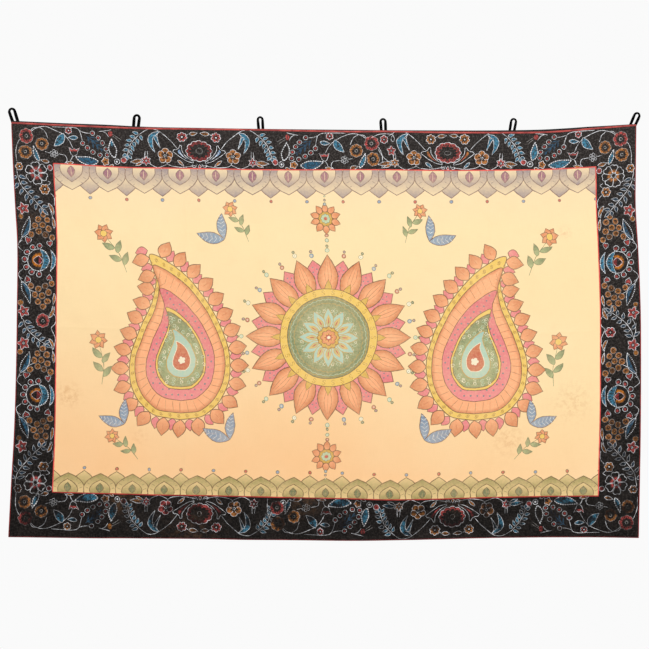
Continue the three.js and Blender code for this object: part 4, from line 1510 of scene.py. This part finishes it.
# ---- The piping and the binding ----
half = PIPING_WIDTH / 2
for name, line in [("piping_top", brow), ("piping_bottom", hem)]:
    ends = [float(side(line(side(HEIGHT / 2)))) for side in (seam_left, seam_right)]
    across = np.arange(ends[0] - half, ends[1] + half, 3.0)
    # The bottom piping's darker red is painted shade
    red = piping_red if line is brow else piping_red_shaded
    cord_piece(name, across - 1j * line(across), PIPING_WIDTH, PIPING_THICK, red, len(name))
for name, side in [("piping_left", seam_left), ("piping_right", seam_right)]:
    at = side(HEIGHT / 2)
    down_side = np.linspace(float(brow(at)) + half * 0.6, float(hem(at)) - half * 0.6, 370)
    cord_piece(name, side(down_side) - 1j * down_side, PIPING_WIDTH, PIPING_THICK, piping_red, len(name))
long_way = np.linspace(0, WIDTH, 700)
down_way = np.linspace(BINDING_TOP - 0.4, HEIGHT - BINDING_SIDE + 0.4, 450)
# The bottom binding's darker red is painted shade
for name, path, width, red in [
    ("binding_top", long_way - 1j * BINDING_TOP / 2, BINDING_TOP, binding_red),
    ("binding_bottom", long_way - 1j * (HEIGHT - BINDING_SIDE / 2), BINDING_SIDE, binding_red_shaded),
    ("binding_left", BINDING_SIDE / 2 - 1j * down_way, BINDING_SIDE, binding_side),
    ("binding_right", WIDTH - BINDING_SIDE / 2 - 1j * down_way, BINDING_SIDE, binding_side),
]:
    cord_piece(name, path, width, BINDING_THICK, red, len(name) + 3)

rows = row_along(long_way - 1j * (BINDING_TOP - TOP_INSET), BINDING_PITCH, 0.45, 4)
for line in (long_way - 1j * (HEIGHT - BINDING_SIDE + SIDE_INSET), BINDING_SIDE - SIDE_INSET - 1j * down_way,
             WIDTH - BINDING_SIDE + SIDE_INSET - 1j * down_way):
    rows += row_along(line, BINDING_PITCH, 0.42, 4)
stitches("binding_stitches", rows, thread_red)
rows = row_along(long_way - 1j * TAPE_ROW, TAPE_PITCH, tape_front - HEADING_THICK, 6)
stitches("tape_stitches", rows, thread_black, rise=-0.4)


# ---- The loops ----
def loop_piece(number, at, rise, lean, width, strand):
    """A flat tube of black cloth that goes up, round a narrow bend and down again, its tails behind the tape."""
    foot = (width - strand) / 2
    bend = foot * SPREAD
    legs = rise - bend - strand * (1 - STRAND_TWIST) / 2
    crown = legs + bend * 4 / 3
    k = np.linspace(0, 1, 26)[1:-1]
    arc = ((1 - k) ** 3 * (-bend + 1j * legs) + 3 * (1 - k) ** 2 * k * (-bend * POINT + 1j * crown)
           + 3 * (1 - k) * k ** 2 * (bend * POINT + 1j * crown) + k ** 3 * (bend + 1j * legs))
    tails = -foot + 1j * np.linspace(-STRAND_TAIL, 0, 8)
    rising = -foot + (foot - bend) * np.linspace(0, 1, 12)[1:] + 1j * legs * np.linspace(0, 1, 12)[1:]
    left_half = np.concatenate([tails, rising])
    path = np.concatenate([left_half, arc, -np.conj(left_half)[::-1]])
    way = np.gradient(path)
    side = 1j * way / np.abs(way)
    depth = tape_front - HEADING_THICK - GAP - STRAND_THICK / 2
    origin = hang(at, 0, depth)
    turn = np.exp(-1j * math.radians(lean))
    chance = random.Random(number)
    waves = [(chance.uniform(0.12, 0.3), chance.uniform(0, 6)) for _ in range(3)]
    rings = []
    length = ways(path)
    crease = sum(np.sin(length * f + shift) for f, shift in waves) / 3
    wide = strand * (1 - STRAND_TWIST * np.exp(-((length / length[-1] - 0.5) / STRAND_REACH) ** 2))
    for j in range(STRAND_SIDES):
        out, up = math.cos(2 * math.pi * j / STRAND_SIDES), math.sin(2 * math.pi * j / STRAND_SIDES)
        seam = 1.06 if j == 0 else 1.0
        flat_x = math.copysign(abs(out) ** 0.75, out) * wide / 2 * seam * (1 + 0.035 * crease)
        deep = up * STRAND_THICK / 2 * (1 + 0.10 * crease * (1 if up > 0 else -1))
        spot = (path + side * flat_x) * turn
        rings.append(np.stack([origin[0] + spot.real * MM, origin[1] - deep * MM + 0 * spot.real,
                               origin[2] + spot.imag * MM], axis=1))
    piece = make_object(f"loop_{number}_strap", *tube(np.stack(rings, axis=1)), [loop_black])
    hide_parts(f"loop_{number}")


for i, (at, rise, lean, width, strand) in enumerate(LOOPS):
    loop_piece(i + 1, at, rise, lean, width, strand)

# ---- Camera, lamps, world and floor, in metres ----
LENS, SENSOR, CAMERA_PLACE = 85, 36, (0, -5.187, -0.660)
MIDDLE = Vector((0, 0, -0.7))
FLOOR_SIDE, FLOOR_BACK, FLOOR_LEVEL = 4, 1.2, -2.15
WORLD_LIGHT = 0.55


def placed(name, data, place):
    holder = bpy.data.objects.new(name, data)
    holder.location = place
    scene.collection.objects.link(holder)
    return holder


camera_data = bpy.data.cameras.new("camera")
camera_data.lens, camera_data.sensor_width, camera_data.clip_end = LENS, SENSOR, 50
scene.camera = placed("camera", camera_data, CAMERA_PLACE)
scene.camera.rotation_euler = (math.radians(90), 0, 0)

for name, place, size, power in [("key", (-1.2, -3.1, 2.9), 1.6, 96), ("fill", (2.8, -3.6, 0.6), 2.5, 56),
                                 ("rear", (1.5, 3.5, 1.5), 2.5, 60)]:
    light = bpy.data.lights.new(name, "AREA")
    light.shape = "RECTANGLE"
    light.size = light.size_y = size
    light.energy = power
    placed(name, light, place).rotation_euler = (MIDDLE - Vector(place)).to_track_quat("-Z", "Y").to_euler()

# The world lights the cloth softly, and looks nearly white where it is seen
scene.world = bpy.data.worlds.new("studio")
sky = Graph(scene.world)
lit = sky.add("Background", {"Color": (1, 1, 1, 1), "Strength": WORLD_LIGHT})
seen = sky.add("Background", {"Color": (*rgb(250, 250, 250), 1)})
ray = sky.add("LightPath").node.outputs
either = sky.math("MAXIMUM", ray["Is Camera Ray"], ray["Is Glossy Ray"])
any_ray = sky.math("MAXIMUM", either, ray["Is Transmission Ray"])
sky.add("OutputWorld", {"Surface": sky.add("MixShader", {"Fac": any_ray, 1: lit, 2: seen})})

floor_mesh = bpy.data.meshes.new("floor")
floor_mesh.from_pydata([(x, y, FLOOR_LEVEL) for x, y in [(-FLOOR_SIDE, -FLOOR_SIDE), (FLOOR_SIDE, -FLOOR_SIDE),
                                                         (FLOOR_SIDE, FLOOR_BACK), (-FLOOR_SIDE, FLOOR_BACK)]],
                       [], [(0, 1, 2, 3)])
pale = Graph(bpy.data.materials.new("floor_pale"))
pale.add("OutputMaterial", {"Surface": pale.add("BsdfPrincipled", {"Base Color": (*rgb(236, 236, 236), 1),
                                                                  "Roughness": 0.9})})
floor_mesh.materials.append(pale.owner)
placed("floor", floor_mesh, (0, 0, 0))

scene.view_settings.view_transform = "Standard"
